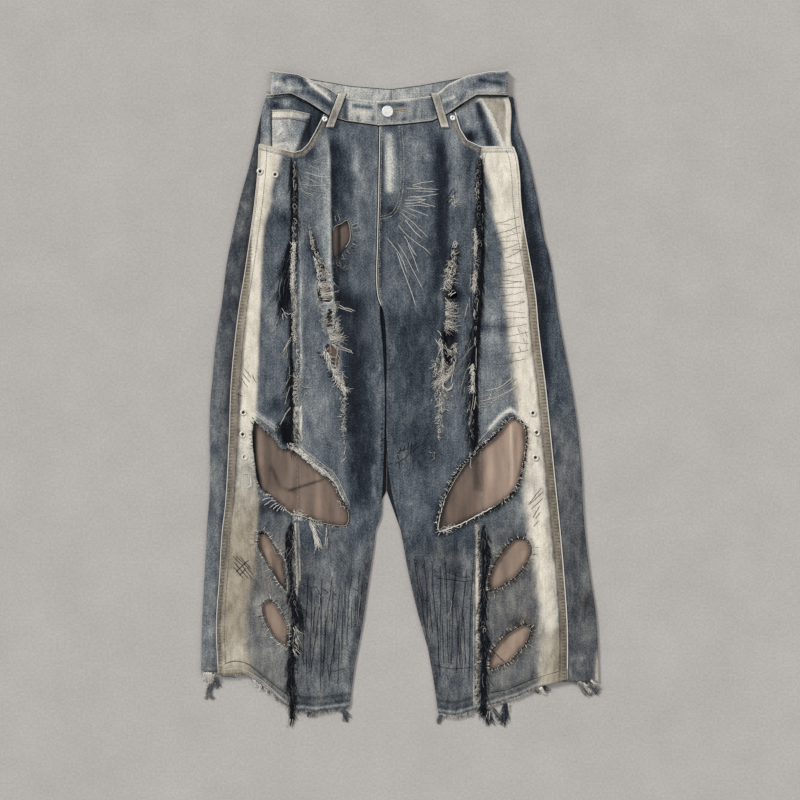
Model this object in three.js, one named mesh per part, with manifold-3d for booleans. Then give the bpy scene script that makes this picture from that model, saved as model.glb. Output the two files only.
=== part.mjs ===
// Ripped jeans laid flat, face up: waist towards +Y, hems towards -Y, the wearer's right leg at -X.
// Every cloth piece is a thin wall worked out from its own outline and from the height at which it lies.
// Millimetres, +Z up. The backs lie on the surface, and the fronts lie on the backs.

import * as THREE from 'three';
import { mergeVertices } from 'three/addons/utils/BufferGeometryUtils.js';
import Module from 'manifold-3d';

const wasm = await Module();
wasm.setup();

// ---- driving dimensions ----
const DENIM = 1.2; // wall of the denim
const SATIN = 1.0; // wall of the lining
const BAND = 2.4; // folded waistband
const LOOP = 1.4; // folded belt loop
const GAP = 0.3; // clearance where two pieces meet
const WAIST_Y = 525; // top of the waistband at the sides
const CROTCH_Y = 143; // where the front seam ends and the two inseams begin
const BACK_CROTCH_Y = -146; // the back crotch hangs lower than the front one
const CENTRE_X = -14; // the centre back
const FOLD_R = 2.2; // radius at which a back folds over the side of the leg
const SIDE_LAP = 8; // how far a back runs on under the front's outer edge
const FRONT_Z = 4.0; // middle of the front cloth where it lies flat
const LINING_Z = 2.2; // middle of the lining patches
const POCKET_LIFT = 3.8; // the fronts rise this much over the pocket layers
const COIN_DROP = 1.7; // the coin pocket lies this far under the front
const FACING_DROP = 3.8; // and the pocket facing this far
const SIDE_RISE = 2.8; // and this much over the folded edge of a back
const SEAM_SINK = 1.7; // they sink this much towards the backs along the inseams
const HIP_RISE = 4.0; // and swell this much over the hips
const FLY_LIFT = 1.9; // the overlapping front stands this much higher at the fly
const FLY_FROM = -24; // x at which that lift begins to fade
const FLY_TO = -4; // and at which it is gone
const BAND_RISE = 1.0; // the band's middle stands this far over the front's
const BAND_FOLD = 6; // the band begins to fold this far inside its end
const BAND_Y = 440; // the front's height is read here for the band
const LOOP_HALF = 6; // half the width of a belt loop
const LOOP_CLEAR = 1.2; // a belt loop lies this far over the band
const FRAY_HALF = 5; // half the width of a frayed seam allowance
const FRAY_WALL = 1.4; // and its thickness
const FRAY_RISE = 2.4; // its middle stands this far over the cloth
const TRIM_CLEAR = 1.2; // rivets and eyelets stand this far over the cloth
const BUTTON_R = 9;
const RIVET_R = 4;
const EYELET_R = 5.5;
const EYELET_HOLE_R = 2.4;

// ---- outlines, as [y, x] from the waist down ----
const SIDE_LEFT = [
  [525, -206], [485, -214], [448, -224], [408, -233], [370, -242], [323, -255], [264, -268], [218, -277],
  [160, -284], [96, -294], [32, -300], [-19, -304], [-141, -304], [-213, -309], [-272, -312], [-347, -316],
  [-432, -318],
];
const SIDE_RIGHT = [
  [525, 173], [502, 178], [466, 184], [434, 189], [397, 202], [360, 211], [314, 221], [256, 231],
  [232, 238], [128, 254], [32, 272], [-46, 284], [-114, 290], [-192, 294], [-282, 304], [-342, 313],
  [-454, 318],
];
const OUTSEAM_LEFT = [
  [485, -213], [467, -220], [435, -223], [400, -225], [365, -226.5], [320, -231], [283, -236], [182, -251],
  [160, -255], [32, -269], [-70, -273], [-172, -279], [-208, -283.5], [-283, -288], [-358, -293],
  [-439, -290],
];
const OUTSEAM_RIGHT = [
  [485, 173], [472, 177.5], [405, 180], [397, 184], [360, 190], [323, 192], [288, 196], [160, 217],
  [128, 219.5], [69, 226], [32, 231], [-24, 237], [-125, 247], [-214, 256], [-286, 262], [-365, 267],
  [-447, 267],
];
const RAW_SEAM_LEFT = [
  [395, -168.5], [366, -169], [320, -168], [256, -163], [112, -168], [74, -161], [18, -166], [-19, -172.5],
  [-189, -173], [-288, -166], [-400, -177], [-494, -172],
];
const RAW_SEAM_RIGHT = [
  [404, 130], [366, 123.5], [328, 125], [306, 128], [269, 121], [158, 115], [106, 119], [-67, 119],
  [-187, 123.5], [-272, 127], [-400, 125], [-494, 122],
];
const INSEAM_LEFT = [
  [438, -24], [386, -24.5], [289, -27], [253, -28.5], [170, -29], [143, -32], [91, -28], [0, -24],
  [-93, -26], [-160, -29], [-187, -31], [-208, -39], [-234, -42], [-288, -50], [-358, -60], [-422, -72],
  [-490, -81],
];
const INSEAM_RIGHT = [
  [438, -32], [386, -33], [289, -35], [253, -36], [160, -34], [143, -27], [91, -22], [0, -21.6], [-74, -21],
  [-136, -15], [-208, 1], [-275, 13.5], [-342, 29], [-398, 45], [-450, 54], [-500, 61],
];

// ---- edges that run across, as [x, y] ----
const BAND_SEAM_LEFT = [
  [-213, 485], [-174, 489], [-147, 476], [-115, 455], [-88, 446], [-28, 438],
];
const BAND_SEAM_RIGHT = [
  [-37, 438], [6, 441], [51, 446], [77, 458], [99, 473], [122, 487], [173, 486],
];
const BAND_TOP_LEFT = [
  [-206, WAIST_Y], [-163, 520], [-112, 497], [-98, 487], [-82, 482], [-28, 476],
];
const BAND_TOP_RIGHT = [
  [-37, 476], [-24, 477.3], [-4, 479.3], [32, 483], [48, 485], [62, 491], [77, 504], [107, 517], [142, 524],
  [173, WAIST_Y],
];
const BACK_SEAM = [[-214, 485], [-14, 458], [173, 485]];
const BACK_TOP = [
  [-206, WAIST_Y], [-133, 511.5], [-78, 502], [-14, 497], [32, 503], [85, 512.5], [107, 517], [173, WAIST_Y],
];

// ---- holes, as [x, y] round the edge ----
const KNEE_LEFT = [
  [-232, -33], [-236, -56], [-233, -90], [-224, -138], [-189, -168], [-175, -180], [-157, -185],
  [-120, -197], [-91, -201], [-83, -195], [-83, -179], [-98, -152], [-109, -131], [-136, -110],
  [-158, -90], [-173, -78], [-189, -78], [-198, -64], [-206, -56], [-230, -35],
];
const KNEE_RIGHT = [
  [173, -33], [184, -30], [199, -44], [201, -69], [193, -114], [179.5, -146], [157, -166],
  [123.5, -184], [99, -197], [67, -209], [61, -204], [65, -181], [78, -143], [96, -112], [123.5, -83],
  [157, -53],
];
const LEAVES_LEFT = [
  [[-225, -211], [-226, -234], [-208, -267], [-182, -304], [-186, -258], [-214, -213]],
  [
    [-207, -318], [-220, -327], [-217, -345], [-210, -362], [-201, -378], [-184, -393], [-179, -392],
    [-179, -362], [-193, -334],
  ],
];
const LEAVES_RIGHT = [
  [[198, -221], [209, -237], [202, -259], [179, -286], [144, -304], [144, -282], [157, -253], [179, -226]],
  [[198, -358], [209, -365], [202, -387], [175, -417], [144, -430], [146, -403], [171, -374]],
];
const THIGH_LEFT = [
  [[-107, 271], [-94, 282], [-83, 286], [-79, 257], [-91, 238], [-104, 226]],
  [[-131, 188], [-110, 188], [-106, 160], [-128, 158]],
  [[-118, 112], [-107, 112], [-106, 141], [-115, 143]],
  [[-120, 82], [-109, 90], [-98, 88], [-98, 42]],
];
const THIGH_RIGHT = [
  [[76, 171], [84, 174], [91, 171], [90, 162], [80, 160]],
  [[70, 107], [85, 106], [84, 90], [76, 87], [71, 92]],
  [[72, 80], [83, 78], [82, 60], [74, 62]],
];

const EYELETS = [
  [-223, 364], [-199, 359], [-250, -20], [-251, -55], [-248, -91], [212, -21], [218, -52], [216, -92],
];

// ---- small helpers ----

// A smooth step from 0 at a to 1 at b.
function smooth(a, b, t) {
  return THREE.MathUtils.smoothstep((t - a) / (b - a), 0, 1);
}

// The value at t of a line through [t, value] points, held at both ends.
function along(points, t) {
  const up = points[0][0] < points[points.length - 1][0] ? points : [...points].reverse();
  const next = up.findIndex((point) => point[0] >= t);
  if (next === 0) return up[0][1];
  if (next < 0) return up[up.length - 1][1];
  const [t0, v0] = up[next - 1];
  const [t1, v1] = up[next];
  return THREE.MathUtils.mapLinear(t, t0, t1, v0, v1);
}

// n + 1 even stations from 0 to 1.
function stations(n) {
  return Array.from({ length: n + 1 }, (_, i) => i / n);
}

// A soft ridge of cloth that runs down the leg from y = top to y = bottom about x.
function ridge(x, y, { at, rise, spread, top, bottom }) {
  const across = Math.exp(-(((x - at) / spread) ** 2));
  return rise * across * smooth(bottom, bottom + 60, y) * (1 - smooth(top - 40, top, y));
}

const RIDGES = [
  { at: -117, rise: 6, spread: 17, top: 400, bottom: 60 },
  { at: 48, rise: 5, spread: 15, top: 420, bottom: 70 },
  { at: 97, rise: 5, spread: 14, top: 390, bottom: 40 },
  { at: -125, rise: 4, spread: 22, top: -220, bottom: -480 },
  { at: 88, rise: 4, spread: 22, top: -240, bottom: -485 },
];

// Height of the middle of the front cloth. It rises over the backs' folded edges and the pocket layers,
// drops to the backs along the inseams, and carries the long folds.
function frontHeight(x, y) {
  const fromSide = x < -30 ? x - along(OUTSEAM_LEFT, y) : along(OUTSEAM_RIGHT, y) - x;
  const fromInseam = x < -25 ? along(INSEAM_LEFT, y) - x : x - along(INSEAM_RIGHT, y);
  const side = SIDE_RISE * (1 - smooth(20, 60, fromSide));
  const nearSeam = 1 - smooth(4, 26, Math.abs(fromInseam));
  const inseam = SEAM_SINK * nearSeam * (1 - smooth(60, CROTCH_Y, y));
  const aside = x < 0 ? smooth(-85, -130, x) : smooth(55, 100, x);
  const pocket = POCKET_LIFT * smooth(290, 350, y) * aside;
  const swell = Math.exp(-(((fromSide - 16) / 14) ** 2));
  const hip = HIP_RISE * swell * smooth(180, 260, y) * (1 - smooth(345, 390, y));
  const folds = RIDGES.reduce((sum, fold) => sum + ridge(x, y, fold), 0);
  return FRONT_Z + side - inseam + pocket + hip + folds;
}

// The front that overlaps at the fly stands clear of the one beneath it.
function overlapHeight(x, y) {
  return frontHeight(x, y) + FLY_LIFT * (1 - smooth(FLY_FROM, FLY_TO, x)) * smooth(60, CROTCH_Y, y);
}

// A closed wall of the given thickness about a grid of points: rows run up, columns run across.
function wall(rows, thickness) {
  const nRows = rows.length;
  const nCols = rows[0].length;
  const positions = [];
  for (const side of [0.5, -0.5]) {
    for (let i = 0; i < nRows; i += 1) {
      for (let j = 0; j < nCols; j += 1) {
        const across = rows[i][Math.min(j + 1, nCols - 1)].clone().sub(rows[i][Math.max(j - 1, 0)]);
        const up = rows[Math.min(i + 1, nRows - 1)][j].clone().sub(rows[Math.max(i - 1, 0)][j]);
        const normal = across.cross(up).normalize();
        positions.push(...rows[i][j].clone().addScaledVector(normal, side * thickness));
      }
    }
  }
  const at = (i, j, under) => i * nCols + j + (under ? nRows * nCols : 0);
  const faces = [];
  const quad = (a, b, c, d) => faces.push(a, b, c, a, c, d);
  for (let i = 0; i < nRows - 1; i += 1) {
    for (let j = 0; j < nCols - 1; j += 1) {
      quad(at(i, j, 0), at(i, j + 1, 0), at(i + 1, j + 1, 0), at(i + 1, j, 0));
      quad(at(i, j, 1), at(i + 1, j, 1), at(i + 1, j + 1, 1), at(i, j + 1, 1));
    }
    quad(at(i, 0, 0), at(i + 1, 0, 0), at(i + 1, 0, 1), at(i, 0, 1));
    quad(at(i, nCols - 1, 0), at(i, nCols - 1, 1), at(i + 1, nCols - 1, 1), at(i + 1, nCols - 1, 0));
  }
  for (let j = 0; j < nCols - 1; j += 1) {
    quad(at(0, j, 0), at(0, j, 1), at(0, j + 1, 1), at(0, j + 1, 0));
    quad(at(nRows - 1, j, 0), at(nRows - 1, j + 1, 0), at(nRows - 1, j + 1, 1), at(nRows - 1, j, 1));
  }
  const geometry = new THREE.BufferGeometry();
  geometry.setAttribute('position', new THREE.Float32BufferAttribute(positions, 3));
  geometry.setIndex(faces);
  return geometry;
}

// Rows of points between two side curves x(y), from the edge y = bottom(u) up to y = top(u).
function panel({ left, right, top, bottom, across, rows, height }) {
  return rows.map((v) => across.map((u) => {
    const y = THREE.MathUtils.lerp(along(bottom, u), along(top, u), v);
    const x = THREE.MathUtils.lerp(along(left, y), along(right, y), u);
    return new THREE.Vector3(x, y, height(x, y));
  }));
}

function asSolid(geometry) {
  const bare = geometry.clone();
  bare.deleteAttribute('normal');
  bare.deleteAttribute('uv');
  const merged = mergeVertices(bare, 1e-4);
  return new wasm.Manifold(new wasm.Mesh({
    numProp: 3,
    vertProperties: new Float32Array(merged.attributes.position.array),
    triVerts: new Uint32Array(merged.index.array),
  }));
}

// The geometry with each outline cut right through it.
function cutOut(geometry, outlines) {
  let solid = asSolid(geometry);
  for (const outline of outlines) {
    const shape = new THREE.Shape(outline.map(([x, y]) => new THREE.Vector2(x, y)));
    const tool = new THREE.ExtrudeGeometry(shape, { depth: 60, bevelEnabled: false });
    tool.translate(0, 0, -20);
    solid = solid.subtract(asSolid(tool));
  }
  const mesh = solid.getMesh();
  const cut = new THREE.BufferGeometry();
  cut.setAttribute('position', new THREE.Float32BufferAttribute(mesh.vertProperties, 3));
  cut.setIndex([...mesh.triVerts]);
  return cut;
}

// ---- finishes ----
const cloth = (color) => new THREE.MeshStandardMaterial({ color, roughness: 0.9, metalness: 0 });
const DENIM_MID = cloth('#5b6673');
const DENIM_DARK = cloth('#3c4654');
const DENIM_CREAM = cloth('#cfc7b6');
const LINING = new THREE.MeshStandardMaterial({ color: '#85726a', roughness: 0.5, metalness: 0 });
const FRAY = cloth('#c9c4ba');
const METAL = new THREE.MeshStandardMaterial({ color: '#c9c9c6', roughness: 0.35, metalness: 0.9 });

const group = new THREE.Group();

function add(name, geometry, material) {
  const mesh = new THREE.Mesh(geometry, material);
  mesh.name = name;
  group.add(mesh);
  return mesh;
}

// ---- backs: flat on the surface from the inseam to the side, then folded over to the outseam ----
// The hem is [share of the way from inseam to side, y].
const BACK_STATIONS = [0, 0.25, 0.4, 0.6, 0.75, 1];
function back({ sign, side, inner, lap, hem, rows }) {
  const arc = [0.25, 0.5, 0.75].map((turn) => turn * Math.PI);
  const topSide = along(BACK_SEAM, sign * 200) - 2 * GAP;
  const topInner = along(BACK_SEAM, CENTRE_X) - 2 * GAP;
  return rows.map((v) => {
    const ySide = THREE.MathUtils.lerp(along(hem, 1), topSide, v);
    const centre = along(side, ySide) - sign * (FOLD_R + DENIM / 2);
    const points = [];
    for (const u of BACK_STATIONS) {
      const topY = THREE.MathUtils.lerp(topInner, topSide, u);
      const y = THREE.MathUtils.lerp(along(hem, u), topY, v);
      points.push(new THREE.Vector3(THREE.MathUtils.lerp(along(inner, y), centre, u), y, DENIM / 2));
    }
    for (const turn of arc) {
      const x = centre + sign * FOLD_R * Math.sin(turn);
      points.push(new THREE.Vector3(x, ySide, DENIM / 2 + FOLD_R * (1 - Math.cos(turn))));
    }
    const lapEnd = along(lap, ySide) - sign * SIDE_LAP;
    const end = Math.abs(lapEnd) < Math.abs(centre) ? lapEnd : centre - sign * BAND_FOLD;
    for (const u of stations(2)) {
      const x = THREE.MathUtils.lerp(centre, end, u);
      points.push(new THREE.Vector3(x, ySide, DENIM / 2 + 2 * FOLD_R));
    }
    return points;
  });
}

const belowCrotch = (curve) => curve.filter(([y]) => y < BACK_CROTCH_Y);
const BACK_INNER_LEFT = [[470, CENTRE_X - 0.6], [BACK_CROTCH_Y, -22], ...belowCrotch(INSEAM_LEFT)];
const BACK_INNER_RIGHT = [[470, CENTRE_X + 0.6], [BACK_CROTCH_Y, -21], ...belowCrotch(INSEAM_RIGHT)];
add('back_left', wall(back({
  sign: -1,
  side: SIDE_LEFT,
  inner: BACK_INNER_LEFT,
  lap: OUTSEAM_LEFT,
  hem: [[0, -482], [0.4, -480], [0.6, -446], [0.75, -431], [1, -432]],
  rows: stations(22),
}), DENIM), DENIM_MID);
add('back_right', wall(back({
  sign: 1,
  side: SIDE_RIGHT,
  inner: BACK_INNER_RIGHT,
  lap: OUTSEAM_RIGHT,
  hem: [[0, -492], [0.25, -486], [0.6, -452], [0.75, -442], [1, -450]],
  rows: stations(22),
}), DENIM), DENIM_MID);

// ---- fronts: an outer and an inner panel on each leg, cut at the knee and where the cloth is torn ----
const ROWS = stations(24);
const shifted = (curve, by) => curve.map(([y, x]) => [y, x + by]);
add('front_outer_left', cutOut(wall(panel({
  left: OUTSEAM_LEFT,
  right: shifted(RAW_SEAM_LEFT, -GAP),
  top: [[0, 408], [0.52, 401], [1, 395]],
  bottom: [[0, -439], [0.36, -436], [0.57, -454], [1, -494]],
  across: [0, 0.18, 0.36, 0.57, 0.8, 1],
  rows: ROWS,
  height: frontHeight,
}), DENIM), [KNEE_LEFT, ...LEAVES_LEFT]), DENIM_CREAM);
add('front_inner_left', cutOut(wall(panel({
  left: shifted(RAW_SEAM_LEFT, GAP),
  right: INSEAM_LEFT,
  top: [
    [0, 395], [0.08, 398], [0.17, 409], [0.25, 426], [0.34, 456], [0.42, 449], [0.6, 444.6], [1, 437.6],
  ],
  bottom: [[0, -494], [0.43, -497], [1, -490]],
  across: [0, 0.08, 0.17, 0.25, 0.34, 0.42, 0.6, 0.8, 1],
  rows: ROWS,
  height: frontHeight,
}), DENIM), [KNEE_LEFT, ...THIGH_LEFT]), DENIM_MID);
add('front_inner_right', cutOut(wall(panel({
  left: INSEAM_RIGHT,
  right: shifted(RAW_SEAM_RIGHT, -GAP),
  top: [
    [0, 437.6], [0.26, 440.6], [0.52, 445.6], [0.68, 457], [0.745, 459], [0.79, 432], [0.86, 414.5],
    [1, 404],
  ],
  bottom: [[0, -500], [0.45, -504], [1, -494]],
  across: [0, 0.13, 0.26, 0.39, 0.52, 0.68, 0.745, 0.79, 0.86, 1],
  rows: ROWS,
  height: overlapHeight,
}), DENIM), [KNEE_RIGHT, ...THIGH_RIGHT]), DENIM_MID);
add('front_outer_right', cutOut(wall(panel({
  left: shifted(RAW_SEAM_RIGHT, GAP),
  right: OUTSEAM_RIGHT,
  top: [[0, 404], [1, 404]],
  bottom: [[0, -494], [0.47, -473], [0.7, -457], [1, -447]],
  across: [0, 0.2, 0.4, 0.6, 0.8, 1],
  rows: ROWS,
  height: frontHeight,
}), DENIM), [KNEE_RIGHT, ...LEAVES_RIGHT]), DENIM_CREAM);

// ---- pocket facings under the pocket edges, and the coin pocket on the left one ----
const underPocket = (drop) => (x, y) => frontHeight(x, y) - drop;
add('pocket_facing_left', wall(panel({
  left: shifted(OUTSEAM_LEFT, 1),
  right: [[480, -112], [370, -118]],
  top: [[0, 482], [0.2, 482], [0.4, 487], [0.66, 474], [1, 451]],
  bottom: [[0, 382], [1, 382]],
  across: [0, 0.2, 0.4, 0.66, 0.83, 1],
  rows: stations(5),
  height: underPocket(FACING_DROP),
}), DENIM), DENIM_DARK);
add('pocket_facing_right', wall(panel({
  left: [[480, 82], [370, 80]],
  right: shifted(OUTSEAM_RIGHT, -1),
  top: [[0, 459], [0.18, 470], [0.43, 484], [0.7, 483], [1, 483]],
  bottom: [[0, 384], [1, 384]],
  across: [0, 0.18, 0.43, 0.7, 1],
  rows: stations(5),
  height: underPocket(FACING_DROP),
}), DENIM), DENIM_DARK);
add('coin_pocket', wall(panel({
  left: [[470, -205], [380, -205]],
  right: [[470, -143], [380, -146]],
  top: [[0, 462], [0.5, 463], [1, 456]],
  bottom: [[0, 390], [1, 390]],
  across: [0, 0.33, 0.66, 1],
  rows: stations(4),
  height: underPocket(COIN_DROP),
}), DENIM), DENIM_MID);

// ---- waistband: one half from the centre back, round the side, to the fly ----
function bandHalf({ sign, side, seam, top, flyX, height }) {
  const sections = [];
  const foldX = side - sign * BAND_FOLD;
  for (const u of stations(4)) {
    const x = THREE.MathUtils.lerp(CENTRE_X + sign * GAP, foldX, u);
    sections.push({ x, low: along(BACK_SEAM, x) + GAP, high: along(BACK_TOP, x), z: BAND / 2 });
  }
  const topZ = height(foldX);
  const radius = (topZ - BAND / 2) / 2;
  for (const turn of [0.25, 0.5, 0.75]) {
    const x = foldX + sign * (BAND_FOLD - BAND / 2) * Math.sin(turn * Math.PI);
    const z = BAND / 2 + radius * (1 - Math.cos(turn * Math.PI));
    sections.push({ x, low: along(BACK_SEAM, x) + GAP, high: along(BACK_TOP, x), z });
  }
  const low = Math.min(side, flyX) + BAND_FOLD + 1;
  const high = Math.max(side, flyX) - BAND_FOLD - 1;
  const corners = [...seam, ...top].map(([x]) => x).filter((x) => x > low && x < high);
  const xs = [foldX, ...corners, flyX].sort((a, b) => sign * (b - a));
  for (const x of xs) {
    sections.push({ x, low: along(seam, x) + GAP, high: along(top, x), z: height(x) });
  }
  return stations(2).map((v) => sections.map((at) => (
    new THREE.Vector3(at.x, THREE.MathUtils.lerp(at.low, at.high, v), at.z)
  )));
}

const underBand = (x) => frontHeight(x, BAND_Y) + BAND_RISE;
const overBand = (x) => underBand(x) + (BAND + GAP) * (1 - smooth(FLY_FROM, FLY_TO, x));
add('waistband_left', wall(bandHalf({
  sign: -1,
  side: -206,
  seam: BAND_SEAM_LEFT,
  top: BAND_TOP_LEFT,
  flyX: -29,
  height: underBand,
}), BAND), DENIM_MID);
add('waistband_right', wall(bandHalf({
  sign: 1,
  side: 173,
  seam: BAND_SEAM_RIGHT,
  top: BAND_TOP_RIGHT,
  flyX: -37,
  height: overBand,
}), BAND), DENIM_MID);

// ---- belt loops over the band ----
function beltLoop(name, topX, topY, bottomX, bottomY) {
  const rows = stations(4).map((v) => [-LOOP_HALF, LOOP_HALF].map((dx) => {
    const x = THREE.MathUtils.lerp(bottomX, topX, v);
    const z = underBand(x) + (BAND + LOOP) / 2 + LOOP_CLEAR;
    return new THREE.Vector3(x + dx, THREE.MathUtils.lerp(bottomY, topY, v), z);
  }));
  add(name, wall(rows, LOOP), DENIM_MID);
}
beltLoop('belt_loop_left', -92, 489, -112, 435);
beltLoop('belt_loop_right', 56, 490, 72, 435);

// ---- lining patches behind the torn cloth ----
function liningPatch(name, [x0, y0], [x1, y1]) {
  const rows = stations(4).map((v) => stations(4).map((u) => (
    new THREE.Vector3(THREE.MathUtils.lerp(x0, x1, u), THREE.MathUtils.lerp(y0, y1, v), LINING_Z)
  )));
  add(name, wall(rows, SATIN), LINING);
}
liningPatch('lining_thigh_left', [-140, 25], [-66, 300]);
liningPatch('lining_knee_left', [-250, -212], [-66, -18]);
liningPatch('lining_shin_left', [-240, -405], [-110, -214]);
liningPatch('lining_knee_right', [45, -220], [216, -16]);
liningPatch('lining_shin_right', [80, -440], [226, -222]);

// ---- frayed seam allowances along the raw front seams ----
function fringe(name, seam, from, to) {
  const rows = stations(Math.ceil((from - to) / 36)).map((v) => [-FRAY_HALF, FRAY_HALF].map((dx) => {
    const y = THREE.MathUtils.lerp(to, from, v);
    const x = along(seam, y) + dx;
    return new THREE.Vector3(x, y, frontHeight(x, y) + DENIM / 2 + FRAY_RISE);
  }));
  add(name, wall(rows, FRAY_WALL), FRAY);
}
fringe('fray_upper_left', RAW_SEAM_LEFT, 388, -22);
fringe('fray_lower_left', RAW_SEAM_LEFT, -186, -WAIST_Y);
fringe('fray_upper_right', RAW_SEAM_RIGHT, 388, -66);
fringe('fray_lower_right', RAW_SEAM_RIGHT, -190, -WAIST_Y);

// ---- hem shreds: the reach of the threads below each hem ----
function hemShred(name, corners, z) {
  const [a, b, c, d] = corners.map(([x, y]) => new THREE.Vector3(x, y, z));
  add(name, wall([[a, b], [d, c]], DENIM), FRAY);
}
hemShred('hem_shred_back_left', [[-312, -472], [-290, -478], [-286, -432.5], [-316, -432.5]], DENIM / 2);
hemShred('hem_shred_inner_left', [[-160, -512], [-90, -514], [-84, -497.8], [-164, -497.8]], 3.6);
hemShred('hem_shred_inner_right', [[72, -514], [112, -512], [114, -504.8], [68, -504.8]], 3.6);
hemShred('hem_shred_back_right', [[272, -472], [304, -472], [312, -450.6], [270, -450.6]], 4.9);

// ---- metal trim ----
function disc(name, profile, sides, x, y, z) {
  const points = profile.map(([r, h]) => new THREE.Vector2(r, h));
  const geometry = new THREE.LatheGeometry(points, sides);
  geometry.rotateX(Math.PI / 2);
  const mesh = add(name, geometry, METAL);
  mesh.position.set(x, y, z);
}
const DOME = [[0, 0], [0.8, 0], [1, 0.12], [1, 0.26], [0.78, 0.4], [0, 0.46]];
const dome = (radius) => DOME.map(([r, h]) => [r * radius, h * radius]);
const onCloth = (x, y) => frontHeight(x, y) + DENIM / 2 + TRIM_CLEAR;
disc('button', dome(BUTTON_R), 20, -20, 460, overBand(FLY_FROM) + BAND / 2 + 2 * GAP);
disc('rivet_left', dome(RIVET_R), 12, -120, 448, onCloth(-120, BAND_Y));
disc('rivet_right', dome(RIVET_R), 12, 84, 450, onCloth(84, BAND_Y));
const RING = [
  [EYELET_HOLE_R, 0], [EYELET_R, 0], [EYELET_R, 0.4], [(EYELET_R + EYELET_HOLE_R) / 2, 1],
  [EYELET_HOLE_R, 0.4], [EYELET_HOLE_R, 0],
];
EYELETS.forEach(([x, y], i) => {
  disc(`eyelet_${i + 1}`, RING, 12, x, y, onCloth(x, y));
});

// ---- the origin is under the middle of the laid garment ----
group.updateMatrixWorld(true);
const box = new THREE.Box3().setFromObject(group);
const middle = box.getCenter(new THREE.Vector3());
group.position.set(-middle.x, -middle.y, -box.min.z);

export default group;
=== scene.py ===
# %% [markdown]
# # Ripped jeans, laid flat
# The garment lies face up: its two backs rest on the surface and wrap forward round the sides, and the
# fronts lie on them. The frame gives every piece's real place. Each cloth piece is a surface worked out
# from two parameters, then given the wall of real denim, and the threads are thousands of thin tubes.

# %% Load the frame
import math

import bpy
import numpy as np
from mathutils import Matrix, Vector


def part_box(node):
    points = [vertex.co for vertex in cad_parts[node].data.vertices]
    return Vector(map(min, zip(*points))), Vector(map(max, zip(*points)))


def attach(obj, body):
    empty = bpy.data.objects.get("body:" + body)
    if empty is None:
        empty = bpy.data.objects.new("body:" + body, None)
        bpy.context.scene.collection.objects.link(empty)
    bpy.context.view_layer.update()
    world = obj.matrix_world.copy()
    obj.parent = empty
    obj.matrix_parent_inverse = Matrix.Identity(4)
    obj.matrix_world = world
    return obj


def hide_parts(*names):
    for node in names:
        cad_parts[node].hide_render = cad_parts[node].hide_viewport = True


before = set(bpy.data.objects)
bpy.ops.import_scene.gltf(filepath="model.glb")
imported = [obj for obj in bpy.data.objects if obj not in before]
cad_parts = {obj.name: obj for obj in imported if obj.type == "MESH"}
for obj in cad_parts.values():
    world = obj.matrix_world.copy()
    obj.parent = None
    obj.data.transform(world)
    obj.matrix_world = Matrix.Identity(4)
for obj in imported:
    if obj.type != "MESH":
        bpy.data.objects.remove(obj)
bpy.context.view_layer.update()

MM = 0.001
RNG = np.random.default_rng(41)

# %% [markdown]
# ## Small helpers for outlines
# A maker draws a pattern piece as a few marks joined by a smooth line. These helpers do the same: a line
# through marks, the distance from a line, and soft steps and blots for folds and for worn or bleached areas.

# %% Lines, steps and blots
def smooth_line(points, t):
    """The value at t on a smooth line through [t, value] marks: cubic pieces whose slope at each mark is
    the mean of the slopes on its two sides, held level past both ends."""
    p = np.array(sorted(points), float)
    t = np.clip(np.asarray(t, float), p[0, 0], p[-1, 0])
    step = np.diff(p[:, 0])
    rise = np.diff(p[:, 1]) / step
    slope = np.concatenate([rise[:1], (rise[1:] + rise[:-1]) / 2, rise[-1:]])
    i = np.clip(np.searchsorted(p[:, 0], t, side="right") - 1, 0, len(step) - 1)
    s = (t - p[i, 0]) / step[i]
    start = (1 + 2 * s) * (1 - s) ** 2 * p[i, 1] + s * s * (3 - 2 * s) * p[i + 1, 1]
    return start + step[i] * (s * (1 - s) ** 2 * slope[i] - s * s * (1 - s) * slope[i + 1])


def step(a, b, t):
    """A smooth step from 0 at a to 1 at b."""
    s = np.clip((np.asarray(t, float) - a) / (b - a), 0, 1)
    return s * s * (3 - 2 * s)


def walked(line, closed=False):
    """A line's marks as an array, closed or not, and how far along it each one lies."""
    p = np.array(line, float)
    if closed:
        p = np.vstack([p, p[:1]])
    return p, np.concatenate([[0], np.cumsum(np.hypot(*np.diff(p, axis=0).T))])


def from_line(x, y, points, closed=False):
    """For each point: the signed distance from a polyline, plus on the right of someone walking along it
    with the garment's top behind them, how far along it the nearest place is from 0 to 1, and that
    place."""
    p, before = walked(points, closed)
    lengths, total = np.diff(before), before[-1]
    best = np.full(np.shape(x), 1e9)
    signed, share = np.zeros(np.shape(x)), np.zeros(np.shape(x))
    near_x, near_y = np.zeros(np.shape(x)), np.zeros(np.shape(x))
    for i, (a, b) in enumerate(zip(p[:-1], p[1:])):
        t = b - a
        s = np.clip(((x - a[0]) * t[0] + (y - a[1]) * t[1]) / (t @ t), 0, 1)
        px, py = a[0] + s * t[0], a[1] + s * t[1]
        d = np.hypot(x - px, y - py)
        side = np.where(t[0] * (y - a[1]) - t[1] * (x - a[0]) >= 0, 1.0, -1.0)
        closer = d < best
        best = np.where(closer, d, best)
        signed = np.where(closer, d * side, signed)
        share = np.where(closer, (before[i] + s * lengths[i]) / total, share)
        near_x, near_y = np.where(closer, px, near_x), np.where(closer, py, near_y)
    return signed, share, near_x, near_y


def soft_line(x, y, points, left, right=None, fade=0.2):
    """A bell across a line, left and right wide on its two sides, that fades out over a share of its
    length."""
    d, share, _, _ = from_line(x, y, points)
    width = np.where(d < 0, left, left if right is None else right)
    return np.exp(-((d / width) ** 2)) * step(0, fade, share) * step(0, fade, 1 - share)


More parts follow.
